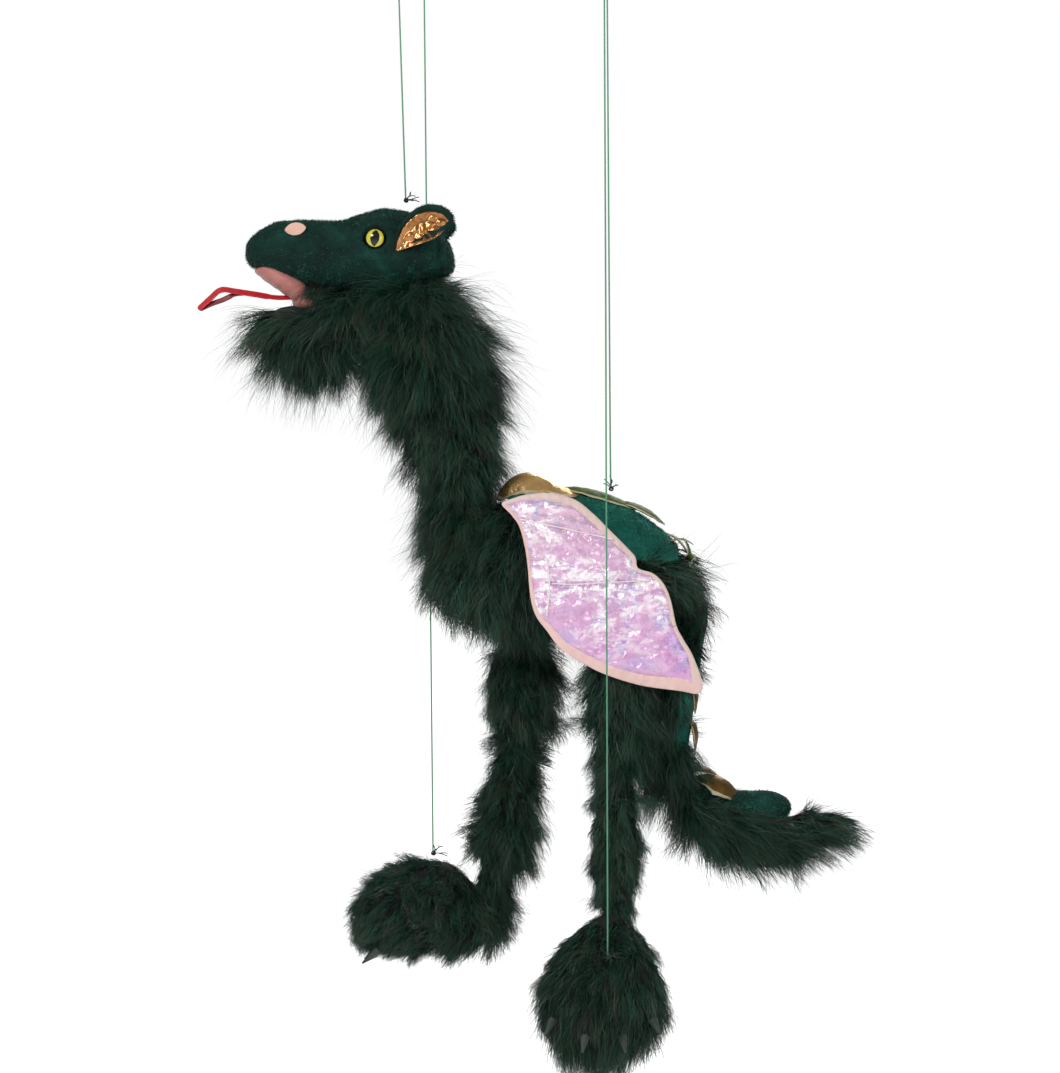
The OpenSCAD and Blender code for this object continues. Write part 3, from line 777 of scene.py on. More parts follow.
def lies(p, x=0.0, z=0.0, base=(0.0, 0.0, -1.0)):
    """A lie for each root, from one direction with its own x and z added."""
    lie = np.tile(base, (len(p), 1))
    lie[:, 0] += x
    lie[:, 2] += z
    return lie


# neck, from the chest up to the back of the jaw
neck_form = soft_form("neck_form", ["neck_fur", "neck_core"],
                      [((-0.034, 0, -0.560), (0.030, 0.030, 0.030)),
                       ((-0.062, 0, -0.396), (0.030, 0.024, 0.018)),
                       ((-0.070, 0, -0.388), (0.028, 0.026, 0.014))],
                      backing, inset=0.006)
NECK_CUT = -0.475


def neck_comb(p, n):
    return lies(p, np.where(p[:, 2] > -0.44, 0.25 * np.sign(p[:, 0] + 0.058), 0.0)) + n * 0.1


neck_low = part_of(neck_form, "neck_low_skin", lambda c: c[:, 2] <= NECK_CUT)
neck_high = part_of(neck_form, "neck_high_skin", lambda c: c[:, 2] > NECK_CUT)
discard(neck_form)
neck_low_fur = coat("neck_low_pile", neck_low, 14000, 0.033, 11, neck_comb, lift=0.4,
                    droop=0.5)
neck_high_fur = coat("neck_high_pile", neck_high, 17500,
                     lambda p, n: np.where(p[:, 2] < -0.45, 0.036, 0.045), 12, neck_comb,
                     lift=0.65, droop=0.6)
hang(neck_low, *neck_low_fur, on=("torso", "neck"), start=(-0.038, 0, -0.580),
     end=(-0.038, 0, -0.535))
hang(neck_high, *neck_high_fur, on=("neck", "head"), start=(-0.060, 0, -0.425),
     end=(-0.062, 0, -0.392))
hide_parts("neck_fur", "neck_core")

# body: velvet back and long pile below
body_form = soft_form("body_form", ["body_stuffing", "back_velvet", "belly_fur"],
                      [((0.098, 0, -0.606), (0.036, 0.034, 0.030))], velvet_back, passes=10,
                      inset=0.001)
VELVET_EDGE = -0.583


def in_velvet(c, ragged=0.0):
    jitter = ragged * (np.sin(c[:, 0] * 9100) + np.sin(c[:, 1] * 7300 + c[:, 2] * 5100))
    c = c - np.array([1, 0, 1]) * jitter[:, None]
    front = 0.002 + np.clip(-0.548 - c[:, 2], 0, 1) * 0.9
    return (c[:, 2] > VELVET_EDGE - 0.004) & (c[:, 0] > front) & (c[:, 0] < 0.130)


back_skin = part_of(body_form, "back_velvet_skin", in_velvet)
belly_skin = body_form
belly_skin.name = "belly_skin"
paint(belly_skin, backing)
swell(belly_skin, -0.003)


def belly_comb(p, n):
    return lies(p, np.clip((p[:, 0] - 0.07) / 0.05, 0, 1) * 1.3)


belly_fur = coat("belly_pile", belly_skin, 24000,
                 lambda p, n: np.where(p[:, 0] > 0.06, 0.042, 0.033), 21, belly_comb,
                 lift=0.55, droop=0.5, keep=lambda p, n: ~in_velvet(p, 0.003))
back_nap = nap("back_nap", back_skin, 17000, 0.0022, 77, downwards(0, 0.4), NAP_BACK,
               ruffle=0.7)
hang(back_skin, back_nap, on="torso", slot="velvet")
hang(belly_skin, *belly_fur, on="torso")
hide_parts("back_velvet", "body_stuffing")
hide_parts("belly_fur")

# legs
for side, word in SIDES:
    hip, knee, ankle = (joint[f"{word}_{j}"] for j in ("leg_swing", "knee", "ankle"))
    leg_form = soft_form(f"{word}_leg_form", [f"{word}_thigh", f"{word}_shin"],
                         [(hip + (0, 0, 0.004), (0.020, 0.017, 0.022)),
                          (knee, (0.017, 0.016, 0.017)),
                          (ankle, (0.015, 0.014, 0.016)),
                          (ankle + (0, 0, -0.012), (0.015, 0.014, 0.014))],
                         backing, inset=0.006)
    middle = (knee[2] + ankle[2]) / 2
    upper = part_of(leg_form, f"{word}_leg_upper_skin", lambda c: c[:, 2] > middle)
    lower = part_of(leg_form, f"{word}_leg_lower_skin", lambda c: c[:, 2] <= middle)
    discard(leg_form)
    comb = downwards(0, 0.12 if side == RIGHT else 0.0)
    near = side == LEFT

    def leg_length(p, n, near=near, knee=knee):
        below = np.clip((knee[2] + 0.01 - p[:, 2]) / 0.04, 0, 1)
        rear = np.clip(n[:, 0], 0, 1)
        return (0.030 - 0.008 * below + 0.016 * rear * (1 - below)) if near \
            else 0.026 + 0.014 * rear

    upper_fur = coat(f"{word}_leg_upper_pile", upper, 16000, leg_length, 31 + side, comb,
                     lift=0.3 if near else 0.42)
    lower_fur = coat(f"{word}_leg_lower_pile", lower, 7000, leg_length, 41 + side, comb,
                     lift=0.3 if near else 0.42)
    hang(upper, *upper_fur, on=(f"{word}_upper_leg", f"{word}_lower_leg"),
         start=knee + (0, 0, 0.024), end=knee - (0, 0, 0.024))
    hang(lower, *lower_fur, on=(f"{word}_lower_leg", f"{word}_foot"),
         start=ankle + (0, 0, 0.022), end=ankle - (0, 0, 0.014))
    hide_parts(f"{word}_thigh", f"{word}_shin")

    paw = soft_form(f"{word}_paw_skin", [f"{word}_paw", f"{word}_foot_weight"], [], backing,
                    inset=0.006 if near else 0.002)
    low, high = (np.array(v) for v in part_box(f"{word}_paw"))
    centre = (low + high) / 2
    if near:
        co = coords_of(paw)
        t = np.clip((co[:, 2] - centre[2]) / (high[2] - centre[2]), 0, 1)
        narrow = (1 - 0.24 * t)[:, None] * (1, 1, 0) + (0, 0, 1)
        set_coords(paw, (co - centre) * narrow + centre)

    def paw_comb(p, n, centre=centre, near=near):
        out = p - centre
        out[:, 2] = 0
        low_half = np.clip((centre[2] - p[:, 2:3]) / 0.02, 0, 1)
        lie = unit(out) * (0.15 - 0.5 * low_half if near else 0.3)
        lie += (-0.22, -0.15, -1.0) if near else (-0.55, 0, -0.6)
        return lie

    def paw_length(p, n, centre=centre, near=near):
        return np.interp(p[:, 2] - centre[2], [-0.03, 0.0, 0.03], [0.040, 0.032, 0.024]) \
            if near else np.where(p[:, 0] > centre[0] + 0.02, 0.030, 0.019)

    paw_fur = coat(f"{word}_paw_pile", paw, 16500, paw_length, 51 + side, paw_comb,
                   lift=0.3, droop=0.75 if near else 0.4)
    front = np.array([0, -1, 0]) if near else np.array([-1, 0, 0])
    paw_fur.append(grow(f"{word}_paw_fringe", paw, 9000, 0.034 if near else 0.024, 61 + side,
                        downwards(0, 0), lift=0.9, droop=0.95,
                        keep=lambda p, n, front=front, centre=centre:
                        (n @ front > 0.45) & (p[:, 2] > centre[2] - 0.022)
                        & (p[:, 2] < centre[2] + 0.01)))
    hang(paw, *paw_fur, on=f"{word}_foot")
    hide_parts(f"{word}_paw", f"{word}_foot_weight")

# tail
tail_form = soft_form("tail_form", ["tail_upper", "tail_tip"],
                      [((0.130, 0, -0.604), (0.018, 0.018, 0.018)),
                       ((0.143, 0, -0.618), (0.014, 0.014, 0.018)),
                       (joint["tail_curl"], (0.016, 0.014, 0.014))], backing, inset=0.006)

tail_up = part_of(tail_form, "tail_upper_skin", lambda c: c[:, 2] > -0.715)
tail_down = part_of(tail_form, "tail_lower_skin", lambda c: c[:, 2] <= -0.715)
discard(tail_form)


def tail_comb(p, n):
    tip = np.clip((p[:, 0] - 0.12) / 0.03, 0, 1) * (p[:, 2] < -0.70)
    return lies(p, tip * 1.6, tip * 0.75, (-0.1, 0.0, -1.0))


def no_velvet_strip(p, n):
    return ~((n[:, 0] > 0.42) & (p[:, 2] > -0.742))


tail_up_fur = coat("tail_upper_pile", tail_up, 13000, 0.040, 61, tail_comb,
                   keep=no_velvet_strip)
tail_down_fur = coat("tail_lower_pile", tail_down, 17000,
                     lambda p, n: np.where(n[:, 2] > 0.2, 0.028, 0.044), 62, tail_comb,
                     keep=lambda p, n: ~((n[:, 2] > 0.6) & (np.abs(p[:, 1]) < 0.010)
                                         & (p[:, 0] < 0.215)), lift=0.42, droop=0.5)
hang(tail_up, *tail_up_fur, on=("torso", "tail_base"), start=(0.126, 0, -0.596),
     end=(0.148, 0, -0.626))
hang(tail_down, *tail_down_fur, on=("tail_base", "tail_end"), start=(0.119, 0, -0.728),
     end=(0.142, 0, -0.772))
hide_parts("tail_upper")
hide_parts("tail_tip")

# head
head = soft_form("head_velvet", ["head_cover", "head_stuffing"], [], velvet, voxel=0.0022,
                 passes=5)


def press(obj, centre, size, depth):
    """Moves points near a centre along their normals, in mm, on both sides alike."""
    at = coords_of(obj) / MM
    at[:, 1] = np.abs(at[:, 1])
    near = (((at - centre) / size) ** 2).sum(1)
    swell(obj, (np.exp(-near) * depth * MM)[:, None])


for centre, size, depth in (
    ((-97, 25, -336), (16, 9, 6), 2.6), ((-96, 29, -348), (9.5, 9, 9.5), -1.6),
    ((-96, 30, -361), (18, 9, 6), 1.6), ((-126, 27, -349), (13, 10, 9), -2.0),
    ((-164, 21, -341), (10, 9, 7), 1.4), ((-182, 12, -352), (8, 12, 8), 1.2),
    ((-140, 26, -366), (22, 9, 6), 1.8), ((-66, 30, -362), (17, 10, 12), 2.2),
    ((-120, 6, -330), (26, 7, 8), -1.6), ((-84, 8, -322), (12, 9, 8), 1.2),
):
    press(head, centre, size, depth)
co = coords_of(head)
seam = np.exp(-(co[:, 1] / 0.0011) ** 2) * (co[:, 2] > -0.362)
back_seam = np.exp(-((co[:, 0] + 0.0485 + (co[:, 2] + 0.36) * 0.12) / 0.0013) ** 2) \
    * (np.abs(co[:, 1]) > 0.006)
swell(head, -((seam * 0.9 + back_seam * 2.0) * MM)[:, None])
head.modifiers.new("round", "SUBSURF").levels = 1
baked(head)


def head_comb(p, n):
    return lies(p, base=(0.9, 0.0, -0.35)) + n * 0.2


def fur_line(x):
    """The height at which the long pile starts under the cheek."""
    return np.interp(x, [-0.150, -0.146, -0.114, -0.081, -0.040],
                     [-0.385, -0.3775, -0.3835, -0.3815, -0.3745])


EYE_SPACE = 0.0088


def clear_of_eyes(p, n):
    return (np.hypot(p[:, 0] + 0.096, p[:, 2] + 0.348) > EYE_SPACE) | (np.abs(p[:, 1]) < 0.012)


head_nap = nap("head_nap", head, 26000, 0.0021, 75, head_comb, NAP, width=0.30,
               shades=(16, 30, 32, 22), keep=clear_of_eyes)


def cheek_comb(p, n):
    return lies(p, np.interp(p[:, 0], [-0.14, -0.09, -0.05], [-0.45, 0.05, 0.75])) + n * 0.25


cheek_fur = coat("cheek_pile", head, 34000, lambda p, n: np.interp(
                     p[:, 0], [-0.15, -0.11, -0.06], [0.026, 0.034, 0.040]), 76, cheek_comb,
                 lift=0.35, droop=0.6, keep=lambda p, n: (p[:, 2] < fur_line(p[:, 0]))
                 & (p[:, 0] > -0.150))
hang(head, head_nap, on="head", slot="velvet")
hang(*cheek_fur, on="head")
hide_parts("head_cover", "head_stuffing")
jaw = soft_form("jaw_skin", ["lower_jaw", "beard_fur"],
                [((-0.122, 0, -0.400), (0.030, 0.023, 0.018)),
                 ((-0.088, 0, -0.398), (0.034, 0.029, 0.016)),
                 ((-0.060, 0, -0.392), (0.019, 0.025, 0.014))], backing, inset=0.003)


def jaw_comb(p, n):
    out = (p - np.array([-0.118, 0, -0.396])) * (1, 0.8, 1)
    front = np.clip((-0.12 - p[:, :1]) / 0.05, 0, 1)
    return unit(out) * (0.3 + 0.6 * front) + DOWN * 0.85


jaw_fur = coat("beard_pile", jaw, 17500, lambda p, n: np.where(p[:, 0] < -0.12, 0.044, 0.036),
               71, jaw_comb, lift=0.5, droop=0.6, clump=0.72,
               keep=lambda p, n: ~((n[:, 2] > 0.3) & (p[:, 0] < -0.130) & (p[:, 0] > -0.172)))
hang(jaw, *jaw_fur, on="head")
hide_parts("lower_jaw", "beard_fur")

# mouth: pink satin under the upper lip and behind the lower one, and the ribbon tongue
palate = soft_form("palate", [], [
    ((-0.1765, 0, -0.3695), (0.0120, 0.0140, 0.0050)),
    ((-0.1710, 0, -0.3730), (0.0120, 0.0150, 0.0068)),
    ((-0.1650, 0, -0.3770), (0.0115, 0.0165, 0.0075)),
    ((-0.1590, 0, -0.3815), (0.0105, 0.0170, 0.0080)),
    ((-0.1540, 0, -0.3860), (0.0090, 0.0160, 0.0080)),
    ((-0.1480, 0, -0.3950), (0.0120, 0.0140, 0.0052)),
], satin, voxel=0.0015, passes=14)
co = coords_of(palate)
folds = np.sin(co[:, 1] / 0.0024 + 0.8 * np.sin(co[:, 0] / 0.006)) * 0.0003
swell(palate, folds[:, None])
hang(palate, on="head", slot="satin")
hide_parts("mouth_lining")


def band(name, path, ups, half, material, thick=0.5):
    """A flat ribbon, in mm, along a smooth path; ups turn its face at each corner."""
    line = smooth_line(path, 1.6)
    turn = smooth_line(ups, 1.6)
    turn = unit(turn[np.linspace(0, len(turn) - 1, len(line)).round().astype(int)])
    ahead = unit(np.gradient(line, axis=0))
    across = unit(np.cross(turn, ahead))
    out = np.cross(ahead, across)
    cols = 4
    s = np.linspace(-1, 1, cols + 1)
    ends = np.ones(len(line))
    ends[-1] = 0.35
    verts = (line[:, None] + across[:, None] * (s[None, :, None] * half * ends[:, None, None])
             + out[:, None] * (0.3 * s ** 2)[None, :, None]).reshape(-1, 3)
    return thickened(mesh_object(name, verts * MM, quads(len(line) - 1, cols), [material]), thick)


tongue_upper = band("tongue_upper", [(-152, 0, -389), (-170, 0, -390), (-188, 0, -387.4),
                                     (-202, 0, -385.2), (-213, 0, -384.2), (-221, 0, -390.6),
                                     (-230, 0, -398.6)],
                    [(0, -0.7, 0.8), (0, -0.7, 0.8), (0, -0.8, 0.6), (0.3, -0.9, 0.7),
                     (-0.4, -0.9, 0.5), (-0.6, -0.8, 0.4)], 2.6, ribbon)
tongue_lower = band("tongue_lower", [(-196, 0.6, -386.8), (-203, 0.8, -387.6),
                                     (-212, 0.8, -391.6), (-221, 0.6, -394.8),
                                     (-229.5, 0.4, -398.8)],
                    [(0, -0.8, 0.7), (0.3, -0.9, 0.5), (0.3, -0.9, 0.5)], 2.0, ribbon_dark)
hang(tongue_upper, tongue_lower, on="head", slot="ribbon")
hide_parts("tongue")

# ears: a velvet leaf with a crinkled lining, open to the side
for side, word in SIDES:
    up = (-0.1, side * 0.95, 0.12)
    ear = leaf(f"{word}_ear_velvet", (-81, side * 33, -356), (-62, side * 37, -332),
               (-38, side * 32, -334), 12.5, up, [velvet] * 3, cup=-3.5,
               thick=2.4, sharp=0.6, blunt=1.25, crinkle=0.4, seed=4)
    ear_nap = nap(f"{word}_ear_nap", ear, 5200, 0.0024, 78 + side, head_comb, NAP, lift=1.2,
                  clump=0.2, keep=lambda p, n, up=up: (n @ unit(np.array(up))) < 0.4)
    lining = leaf(f"{word}_ear_lining", (-80, side * 36, -357.5), (-62, side * 40, -337),
                  (-41.5, side * 35, -336.5), 10.8, up, [foil] * 3, cup=-3.0,
                  thick=0.5, sharp=0.6, blunt=1.25, crinkle=2.4, seed=6, rows=44, cols=26)
    hang(ear, ear_nap, on="head", slot="velvet")
    hang(lining, on="head", slot="ear_foil")
    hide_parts(f"{word}_ear")
    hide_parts("ear_linings")
    cut_from(lining)


# eyes
eye_low, eye_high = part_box("eyes")
EYE_R = 7.5 * MM
eye_at = np.array([(eye_low[0] + eye_high[0]) / 2, 0, (eye_low[2] + eye_high[2]) / 2])
eye_out = eye_high[1]
for side, word in SIDES:
    dome, rings, around = 9.5 * MM, 14, 48
    verts, faces, which = [], [], []

    def on_dome(x, z, lift=0.0):
        depth = math.sqrt(dome * dome - x * x - z * z) + lift
        return eye_at[0] + x, side * (eye_out - dome + depth), eye_at[2] + z

    verts.append(on_dome(0, 0))
    for i in range(rings):
        r = EYE_R * (i + 1) / rings
        for a in [2 * math.pi * k / around for k in range(around)]:
            verts.append(on_dome(r * math.cos(a), r * math.sin(a)))
    for k in range(around):
        faces.append((0, 1 + k, 1 + (k + 1) % around)[::-side])
        which.append(0)
    for i in range(rings - 1):
        for k in range(around):
            a, b = 1 + i * around + k, 1 + i * around + (k + 1) % around
            faces.append((a, a + around, b + around, b)[::-side])
            which.append(1 if i >= rings - 3 else 0)
    back = len(verts)
    rear = side * (eye_out - dome - 3 * MM)
    verts += [(x, rear, z) for x, _, z in verts[-around:]]
    edge = 1 + (rings - 1) * around
    for k in range(around):
        after = (k + 1) % around
        faces.append((edge + k, back + k, back + after, edge + after)[::-side])
        which.append(1)
    eye = mesh_object(f"{word}_eye_dome", verts, faces, [eye_yellow, eye_black], which)
    # the slit pupil, a thin leaf that lies on the dome
    tall, broad, rows = 6.1 * MM, 3.4 * MM, 18
    verts = []
    for i in range(rows + 1):
        z = -tall + 2 * tall * i / rows
        w = broad * (1 - (z / tall) ** 2) ** 0.8
        verts += [on_dome(w * (j / 2 - 1) + z * 0.12, z, 0.06 * MM) for j in range(5)]
    pupil = mesh_object(f"{word}_eye_pupil", verts, [f[::-side] for f in quads(rows, 4)],
                        [eye_black])
    hang(eye, pupil, on="head", slot="eye")
    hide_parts("eyes")


# --- wings ---

WING_FACE, WING_REAR = 60, 58.6      # mm from the middle plane to the film's and lining's edges
SEAM_R = 0.65 * MM
WING = [(-16, 1), (-8, 5), (3, 8), (20, 9), (38, 4), (52, -7), (62, -17), (75, -30), (82, -38),
        (84, -46), (95, -50), (103, -58), (108, -70), (112, -88), (117, -98), (124, -110),
        (131, -130), (128, -138), (114, -136), (86, -132), (60, -124), (42, -115), (27, -105),
        (17, -92), (9, -81), (5, -67), (3, -45), (1, -31), (-3, -16), (-9, -7)]
CREASES = (  # corners, depth, half width of the groove, size of its puckers
    ([(-3, -10), (25, -16), (66, -25)], -1.8, 2.0, 0.5),
    ([(17, -57), (36, -58), (53, -57), (93, -55)], -2.6, 2.0, 0.8),
    ([(17, -38), (19, -60), (17, -81)], 1.5, 2.4, 0.3),
    ([(8, -81), (12, -82), (17, -82)], -1.5, 1.6, 0.3),
    ([(-6, -4), (2, -38), (6, -66)], 0.9, 2.6, 0.3),
    ([(2, -8), (16, -34), (34, -56)], 1.3, 2.2, 0.2),
    ([(6, -6), (32, -28), (60, -54)], 1.0, 2.2, 0.2),
    ([(30, -62), (44, -84), (50, -108)], 0.9, 2.6, 0.2),
    ([(60, -60), (84, -88), (104, -116)], 0.8, 2.8, 0.2),
)
edge = smooth_line(WING, 1.7, closed=True)
ring = np.vstack([edge, edge[:1]])
# the top edge runs along the outline from the root to just before the tip
TOP_EDGE = near_line(np.array([[131.0, -132.0]]), ring)[1][0] - 2


def wing_grid(step=1.5):
    """Points of the wing's flat outline and the triangles between them."""
    low, high = edge.min(0), edge.max(0)
    grid = []
    for j, z in enumerate(np.arange(low[1], high[1], step * 0.87)):
        for x in np.arange(low[0] + (j % 2) * step / 2, high[0], step):
            grid.append((x, z))
    grid = np.array(grid)
    inside = np.zeros(len(grid), bool)
    for a, b in zip(ring[:-1], ring[1:]):
        crosses = (a[1] > grid[:, 1]) != (b[1] > grid[:, 1])
        with np.errstate(divide="ignore", invalid="ignore"):
            at = a[0] + (grid[:, 1] - a[1]) / (b[1] - a[1]) * (b[0] - a[0])
        inside ^= crosses & (grid[:, 0] < at)
    gap = near_line(grid, ring)[0]
    grid = grid[inside & (gap > 0.55 * step)]
    rng = np.random.default_rng(5)
    grid = grid + rng.uniform(-0.15, 0.15, grid.shape)
    points = [Vector(v) for v in np.vstack([edge, grid])]
    loop = [(k, (k + 1) % len(edge)) for k in range(len(edge))]
    found = delaunay_2d_cdt(points, loop, [], 1, 1e-5)
    return np.array([tuple(v) for v in found[0]]), [tuple(f) for f in found[2]]


flat, flat_faces = wing_grid()
gap, along, spot = near_line(flat, ring)
HEM = (((-16, 1), 2.2), ((20, 9), 5.5), ((62, -17), 5.5), ((84, -46), 2.6), ((108, -70), 2.2),
       ((124, -110), 3.6), ((131, -130), 8.0), ((114, -136), 9.5), ((86, -132), 8.0),
       ((60, -124), 7.5), ((27, -105), 7.0), ((9, -81), 3.2), ((3, -45), 1.8), ((-3, -16), 2.2))
hem_at = near_line(np.array([corner for corner, _ in HEM], float), ring)[1]
hem_at[0] = 0.0
hem_order = np.argsort(hem_at)
band_wide = np.interp(along, hem_at[hem_order], np.array([w for _, w in HEM])[hem_order])
pull = np.abs(gap - band_wide) < 0.75
inward = unit(flat - spot)
flat = np.where(pull[:, None], spot + inward * band_wide[:, None], flat)
gap = np.where(pull, band_wide, gap)
rim = gap < 0.01
crumple = facets(flat * (1.0, 0.8), 11, 3) * 2.2 + facets(flat * (0.8, 1.2), 5, 4) * 0.9
calm = np.clip((flat[:, 0] - 62) / 40, 0, 1) * np.clip((-flat[:, 1] - 62) / 40, 0, 1)
inner = np.clip((gap - band_wide) / 3, 0, 1)
out = 4.6 * (1 - np.exp(-gap / 8)) + crumple * inner * (1 - 0.72 * calm)
for corners, depth, width, pucker in CREASES:
    d, s_along, _ = near_line(flat, smooth_line(corners, 3))
    out += inner * (depth * np.exp(-(d / width) ** 2)
                    + pucker * np.exp(-(d / 4.5) ** 2) * np.sin(s_along * 1.5 + d * 0.6))
fan = np.arctan2(flat[:, 1] + 4, flat[:, 0] + 4)
reach = np.hypot(flat[:, 0] + 4, flat[:, 1] + 4)
out += inner * 0.7 * np.sin(fan * 19) * np.exp(-(reach - 28) ** 2 / 500)
out -= 0.9 * np.exp(-((gap - band_wide) / 0.9) ** 2)
out += (1 - inner) * 0.35 * np.sin(along * 0.75) * (gap > 0.8)
out = np.where(rim, 0.4, out)
ribs = []
for corners in (CREASES[0][0], CREASES[1][0], CREASES[2][0]):
    line = smooth_line(corners, 2)
    high = out[nearest_of(line, flat)]
    high = np.convolve(np.pad(high, 2, mode="edge"), np.ones(5) / 5, "valid") + 0.7
    ribs.append((line, high))
under = 1.9 * (1 - np.exp(-gap / 7)) + facets(flat, 13, 8) * 0.6 * inner
under = np.where(rim, 0.0, under)
middle_gap = np.array([np.mean([gap[k] - band_wide[k] for k in f]) for f in flat_faces])
is_film = middle_gap > 0
is_top = np.array([np.mean([along[k] for k in f]) < TOP_EDGE for f in flat_faces])


def sub_mesh(name, points, faces, materials, which=None):
    """A mesh of only the points that faces use."""
    used = sorted({k for f in faces for k in f})
    place = {k: i for i, k in enumerate(used)}
    return mesh_object(name, points[used], [tuple(place[k] for k in f) for f in faces],
                       materials, which)


def in_wing(word, points, across):
    """Points of the flat outline at their place in the puppet; across is in mm."""
    root_at = joint[f"{word}_wing_sweep"]
    return np.column_stack([points[:, 0] * MM + root_at[0], across * MM,
                            points[:, 1] * MM + root_at[2]])


for side, word in SIDES:
    front = in_wing(word, flat, side * (WING_FACE + out))
    rear = in_wing(word, flat, side * (WING_REAR - under))
    count = len(flat)
    film_faces = [f[::side] for f, middle in zip(flat_faces, is_film) if middle]
    film_sheet = sub_mesh(f"{word}_film", front, film_faces, [film])
    back_sheet = sub_mesh(f"{word}_wing_back", rear, [f[::-1] for f in film_faces], [peach_back])
    hem = [f[::side] for f, middle in zip(flat_faces, is_film) if not middle]
    hem_which = [int(top) for top, middle in zip(is_top, is_film) if not middle]
    hem_back = [tuple(k + count for k in f[::-1]) for f in hem]
    loop = sorted((k for k in range(count) if rim[k]), key=lambda k: along[k])
    rim_faces = [(a, b, b + count, a + count)[::side] for a, b in zip(loop, loop[1:] + loop[:1])]
    rim_which = [int(along[a] < TOP_EDGE) for a in loop]
    border = sub_mesh(f"{word}_wing_hem", np.vstack([front, rear]), hem + hem_back + rim_faces,
                      [peach, beige_edge], hem_which + hem_which + rim_which)
    seams = mesh_object(f"{word}_wing_seams", *joined(
        [tube(in_wing(word, line, side * (WING_FACE + high)), SEAM_R) for line, high in ribs]),
        [vein])
    hang(seams, on=f"{word}_wing", slot="wing_cloth")
    hang(film_sheet, on=f"{word}_wing", slot="film")
    hang(back_sheet, border, on=f"{word}_wing", slot="wing_cloth")
    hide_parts(f"{word}_wing_film")
    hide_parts(f"{word}_wing_backing")
    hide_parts(f"{word}_wing_border")

# --- crest, tail trim, thread ties ---


def lame_leaf(name, curve, half, up, looks, cup, sharp, seed, body):
    """A petal or a scale of gold cloth."""
    obj = leaf(name, *curve, half, up, looks, cup=cup, sharp=sharp, crinkle=0.9, seed=seed,
               band=0.95, cols=20)
    hang(obj, on=body, slot="gold_lame")
    cut_from(obj)
    return obj


CREST = (  # three points of the curve, half width, cup, materials, sharpness
    ((-7, 0, -541), (10, 0, -503), (46, 0, -537), 18, 17, (bronze, gold, beige), 0.5),
    ((22, 0, -531), (46, 0, -528), (70, 0, -541), 16, 7, (bronze, gold, beige), 0.6),
    ((42, 0, -532), (70, 0, -529), (101, 0, -549), 15, 6, (olive, olive, beige), 0.7),
    ((84, 0, -542), (106, 0, -542), (120, 0, -560), 11, 4, (bronze, olive, beige), 0.7),
    ((119, -8, -574), (132, -12, -566), (141, -12, -575), 5, 1, (beige, olive, beige), 0.8),
    ((133, -12, -570), (141, -13, -576), (138, -13, -592), 5, 1, (beige, olive, beige), 0.8),
    ((117, 5, -566), (132, 6, -565), (140, 6, -586), 5, 1, (olive, beige, beige), 0.8),
)
for k, (a, b, c, half, cup, looks, sharp) in enumerate(CREST):
    petal = lame_leaf(f"crest_petal_{k + 1}", (a, b, c), half, (0, 0, 1), looks, cup, sharp,
                      20 + k, "torso")
    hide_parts("spine_crest")

SCALES = (  # body, three points of the curve, half width, cup, side the face turns to
    ("tail_base", (140, 0, -676), (148, 0, -682), (143, 0, -702), 8, 4, (1, 0, 0.5)),
    ("tail_base", (137, 0, -704), (149, 0, -710), (143, 0, -730), 9, 4, (1, 0, 0.5)),
    ("tail_end", (138, 0, -744), (148, 0, -736), (160, 0, -748), 10, 4, (0.5, 0, 1)),
    ("tail_end", (142, 0, -750), (162, 0, -738), (180, 0, -768), 17, 14, (0.3, 0, 1)),
)
for k, (body, a, b, c, half, cup, up) in enumerate(SCALES):
    scale = lame_leaf(f"tail_scale_{k + 1}", (a, b, c), half, up, (gold, bronze, beige), cup,
                      0.6, 40 + k, body)
    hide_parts("tail_scales")
strip = leaf("tail_velvet_strip", (151, 0, -618), (146, 0, -664), (133, 0, -746), 16, (1, 0, 0.2),
             [velvet_back] * 3, cup=12, thick=3.0, sharp=0.3, rows=40)
hang(strip, on="tail_base", slot="velvet")
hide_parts("tail_velvet")
cut_from(strip)
hump = soft_form("tail_velvet_hump", [], [
    ((0.178, 0, -0.771), (0.020, 0.013, 0.012)), ((0.193, 0, -0.772), (0.022, 0.013, 0.013)),
    ((0.150, 0, -0.765), (0.018, 0.011, 0.009))], velvet, voxel=0.0016, passes=3)
hump_nap = nap("tail_velvet_nap", hump, 3600, 0.0024, 91, downwards(0.3, 0.1), NAP_BACK,
               lift=1.2)
hang(hump, hump_nap, on="tail_end", slot="velvet")
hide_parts("tail_tip_velvet")


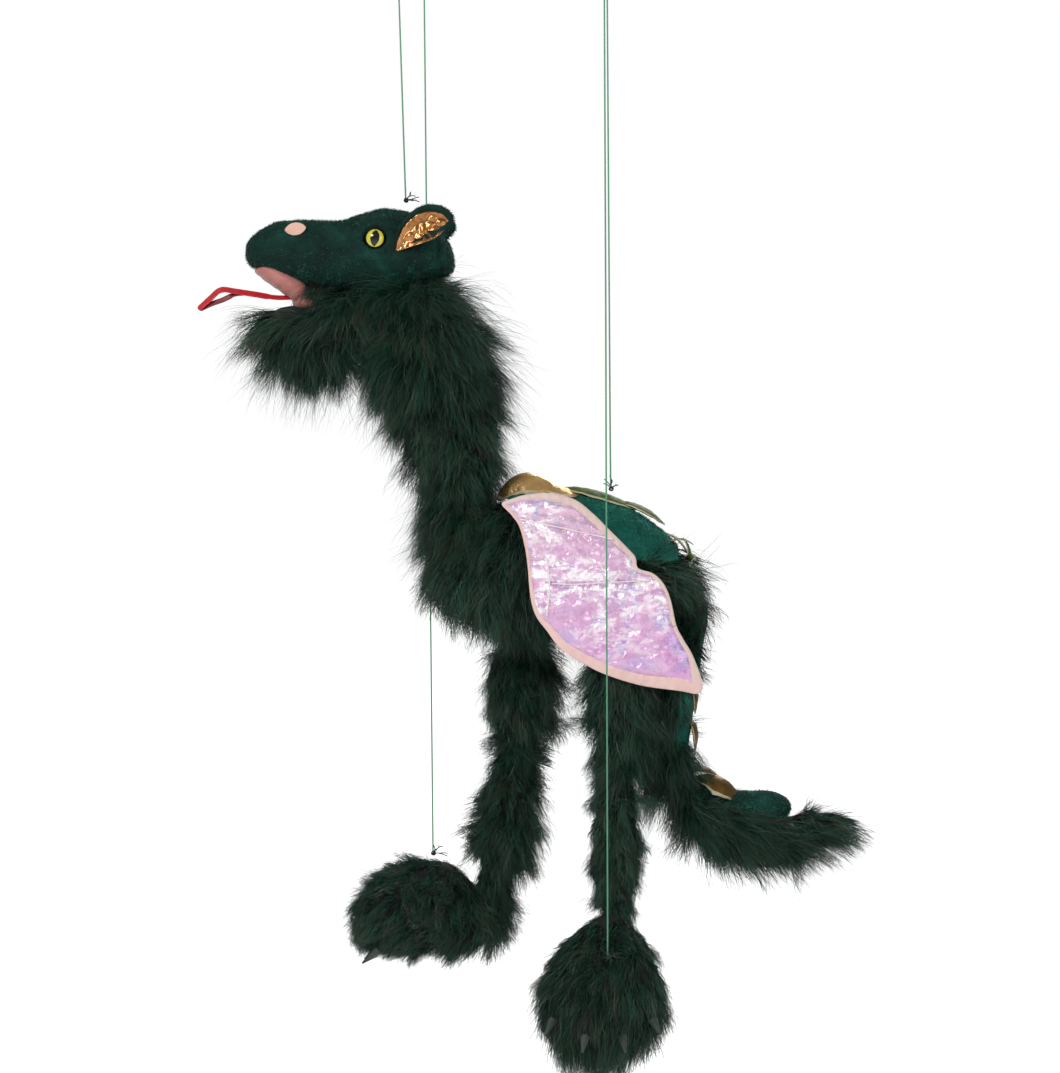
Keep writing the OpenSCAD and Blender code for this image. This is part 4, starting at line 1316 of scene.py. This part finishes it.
def tie(name, node, body, seed, drop=0.0022):
    """A knot of doubled thread with curly cut ends, where the CAD tie is."""
    rng = np.random.default_rng(seed)
    low, high = (np.array(v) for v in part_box(node))
    at = np.array([low[0] + 0.0022, (low[1] + high[1]) / 2, low[2] + drop])
    parts = []
    for k in range(3):
        a = np.linspace(0, 2 * math.pi * 1.1, 22)
        turn = np.array(Euler(rng.uniform(-1.2, 1.2, 3)).to_matrix())
        loop = np.column_stack([np.cos(a), np.sin(a), 0.25 * np.sin(2 * a)]) * 0.0015
        parts.append(tube(at + loop @ turn.T, 0.0005, 6))
    for k in range(6):
        way = unit(np.array([rng.uniform(-0.5, 1.3), rng.uniform(-0.5, 0.5),
                             rng.uniform(0.0, 1.2)]))
        long = rng.uniform(0.008, 0.014)
        t = np.linspace(0, 1, 12)
        a = t * rng.uniform(3, 7) + rng.uniform(0, 6)
        curl = np.column_stack([np.cos(a), np.sin(a), np.sin(a * 0.7)]) * 0.0011 * t[:, None]
        droop = np.outer(t * t, [0, 0, -0.3]) * long
        parts.append(tube(at + np.outer(t, way) * long + curl + droop, 0.00038, 5))
    knot = mesh_object(name, *joined(parts), [thread])
    hang(knot, on=body, slot="thread")
    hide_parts(node)


tie("back_knot", "back_tie", "torso", 1, -0.0012)
tie("head_knot", "head_tie", "head", 2)
tie("left_foot_knot", "left_foot_tie", "left_foot", 3)
tie("right_foot_knot", "right_foot_tie", "right_foot", 4)

# --- shown CAD nodes ---

for names, material in (
    (["main_bar"], bar_wood), (["leg_bar"], leg_bar_wood), (["handle"], grip_wood),
    (["centre_screw", "left_foot_weight", "right_foot_weight"], steel),
    (["head_bead", "back_bead", "left_leg_bead", "right_leg_bead"], bead_wood),
    (["eye_washers"], washer), (["left_hip_button", "right_hip_button"], button),
    (["left_claws", "right_claws"], claw), (["left_wing_tab", "right_wing_tab"], velvet),
    (["nostrils"], felt),
):
    for n in names:
        paint(nodes[n], material)

# --- strings ---

STRING_BODIES = {"head_string": "head_line", "back_string": "torso",
                 "left_leg_string": "left_leg_line", "right_leg_string": "right_leg_line"}
for name, body in STRING_BODIES.items():
    obj = strings[name]
    obj.data.materials.append(nylon)
    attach(obj, body)
    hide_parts(name)

# --- stage and light ---


def stage_material():
    look = Look("pale_floor", Roughness=0.9, Emission_Color=(1, 1, 1, 1))
    look.set("Base Color", look.mix(look.noise(2), (0.86, 0.86, 0.86), (0.9, 0.9, 0.9)))
    seen_by_camera = look.node("ShaderNodeLightPath").outputs["Is Camera Ray"]
    look.set("Emission Strength", look.span(seen_by_camera, 0.3, 1.0))
    return look.material


FLOOR, FLOOR_SIZE = -1.12, 40
floor = mesh_object("floor", [(x * FLOOR_SIZE, y * FLOOR_SIZE, FLOOR) for x, y in (
    (-1, -1), (1, -1), (1, 1), (-1, 1))], [(0, 1, 2, 3)], [stage_material()])

world = bpy.data.worlds.new("studio")
scene.world = world
world.use_nodes = True
tree = world.node_tree
both = tree.nodes.new("ShaderNodeMixShader")
for k, (background, strength) in enumerate((
    (tree.nodes["Background"], 0.32),                    # what lights the object
    (tree.nodes.new("ShaderNodeBackground"), 1.0),       # what the camera sees
)):
    background.inputs["Color"].default_value = (1, 1, 1, 1)
    background.inputs["Strength"].default_value = strength
    tree.links.new(background.outputs[0], both.inputs[k + 1])
rays = tree.nodes.new("ShaderNodeLightPath")
tree.links.new(rays.outputs["Is Camera Ray"], both.inputs[0])
tree.links.new(both.outputs[0], tree.nodes["World Output"].inputs["Surface"])


def soft_light(name, at, aim, size, power):
    data = bpy.data.lights.new(name, "AREA")
    data.shape = "DISK"
    data.size = size
    data.energy = power
    obj = link(bpy.data.objects.new(name, data))
    obj.location = at
    obj.rotation_euler = (Vector(aim) - Vector(at)).to_track_quat("-Z", "Y").to_euler()


soft_light("key", (-1.2, -1.9, 0.8), (0, 0, -0.55), 0.8, 38)
soft_light("fill", (1.6, -1.5, -0.1), (0, 0, -0.6), 1.2, 9)
soft_light("rim", (0.7, 1.8, 0.6), (0, 0, -0.5), 1.0, 18)
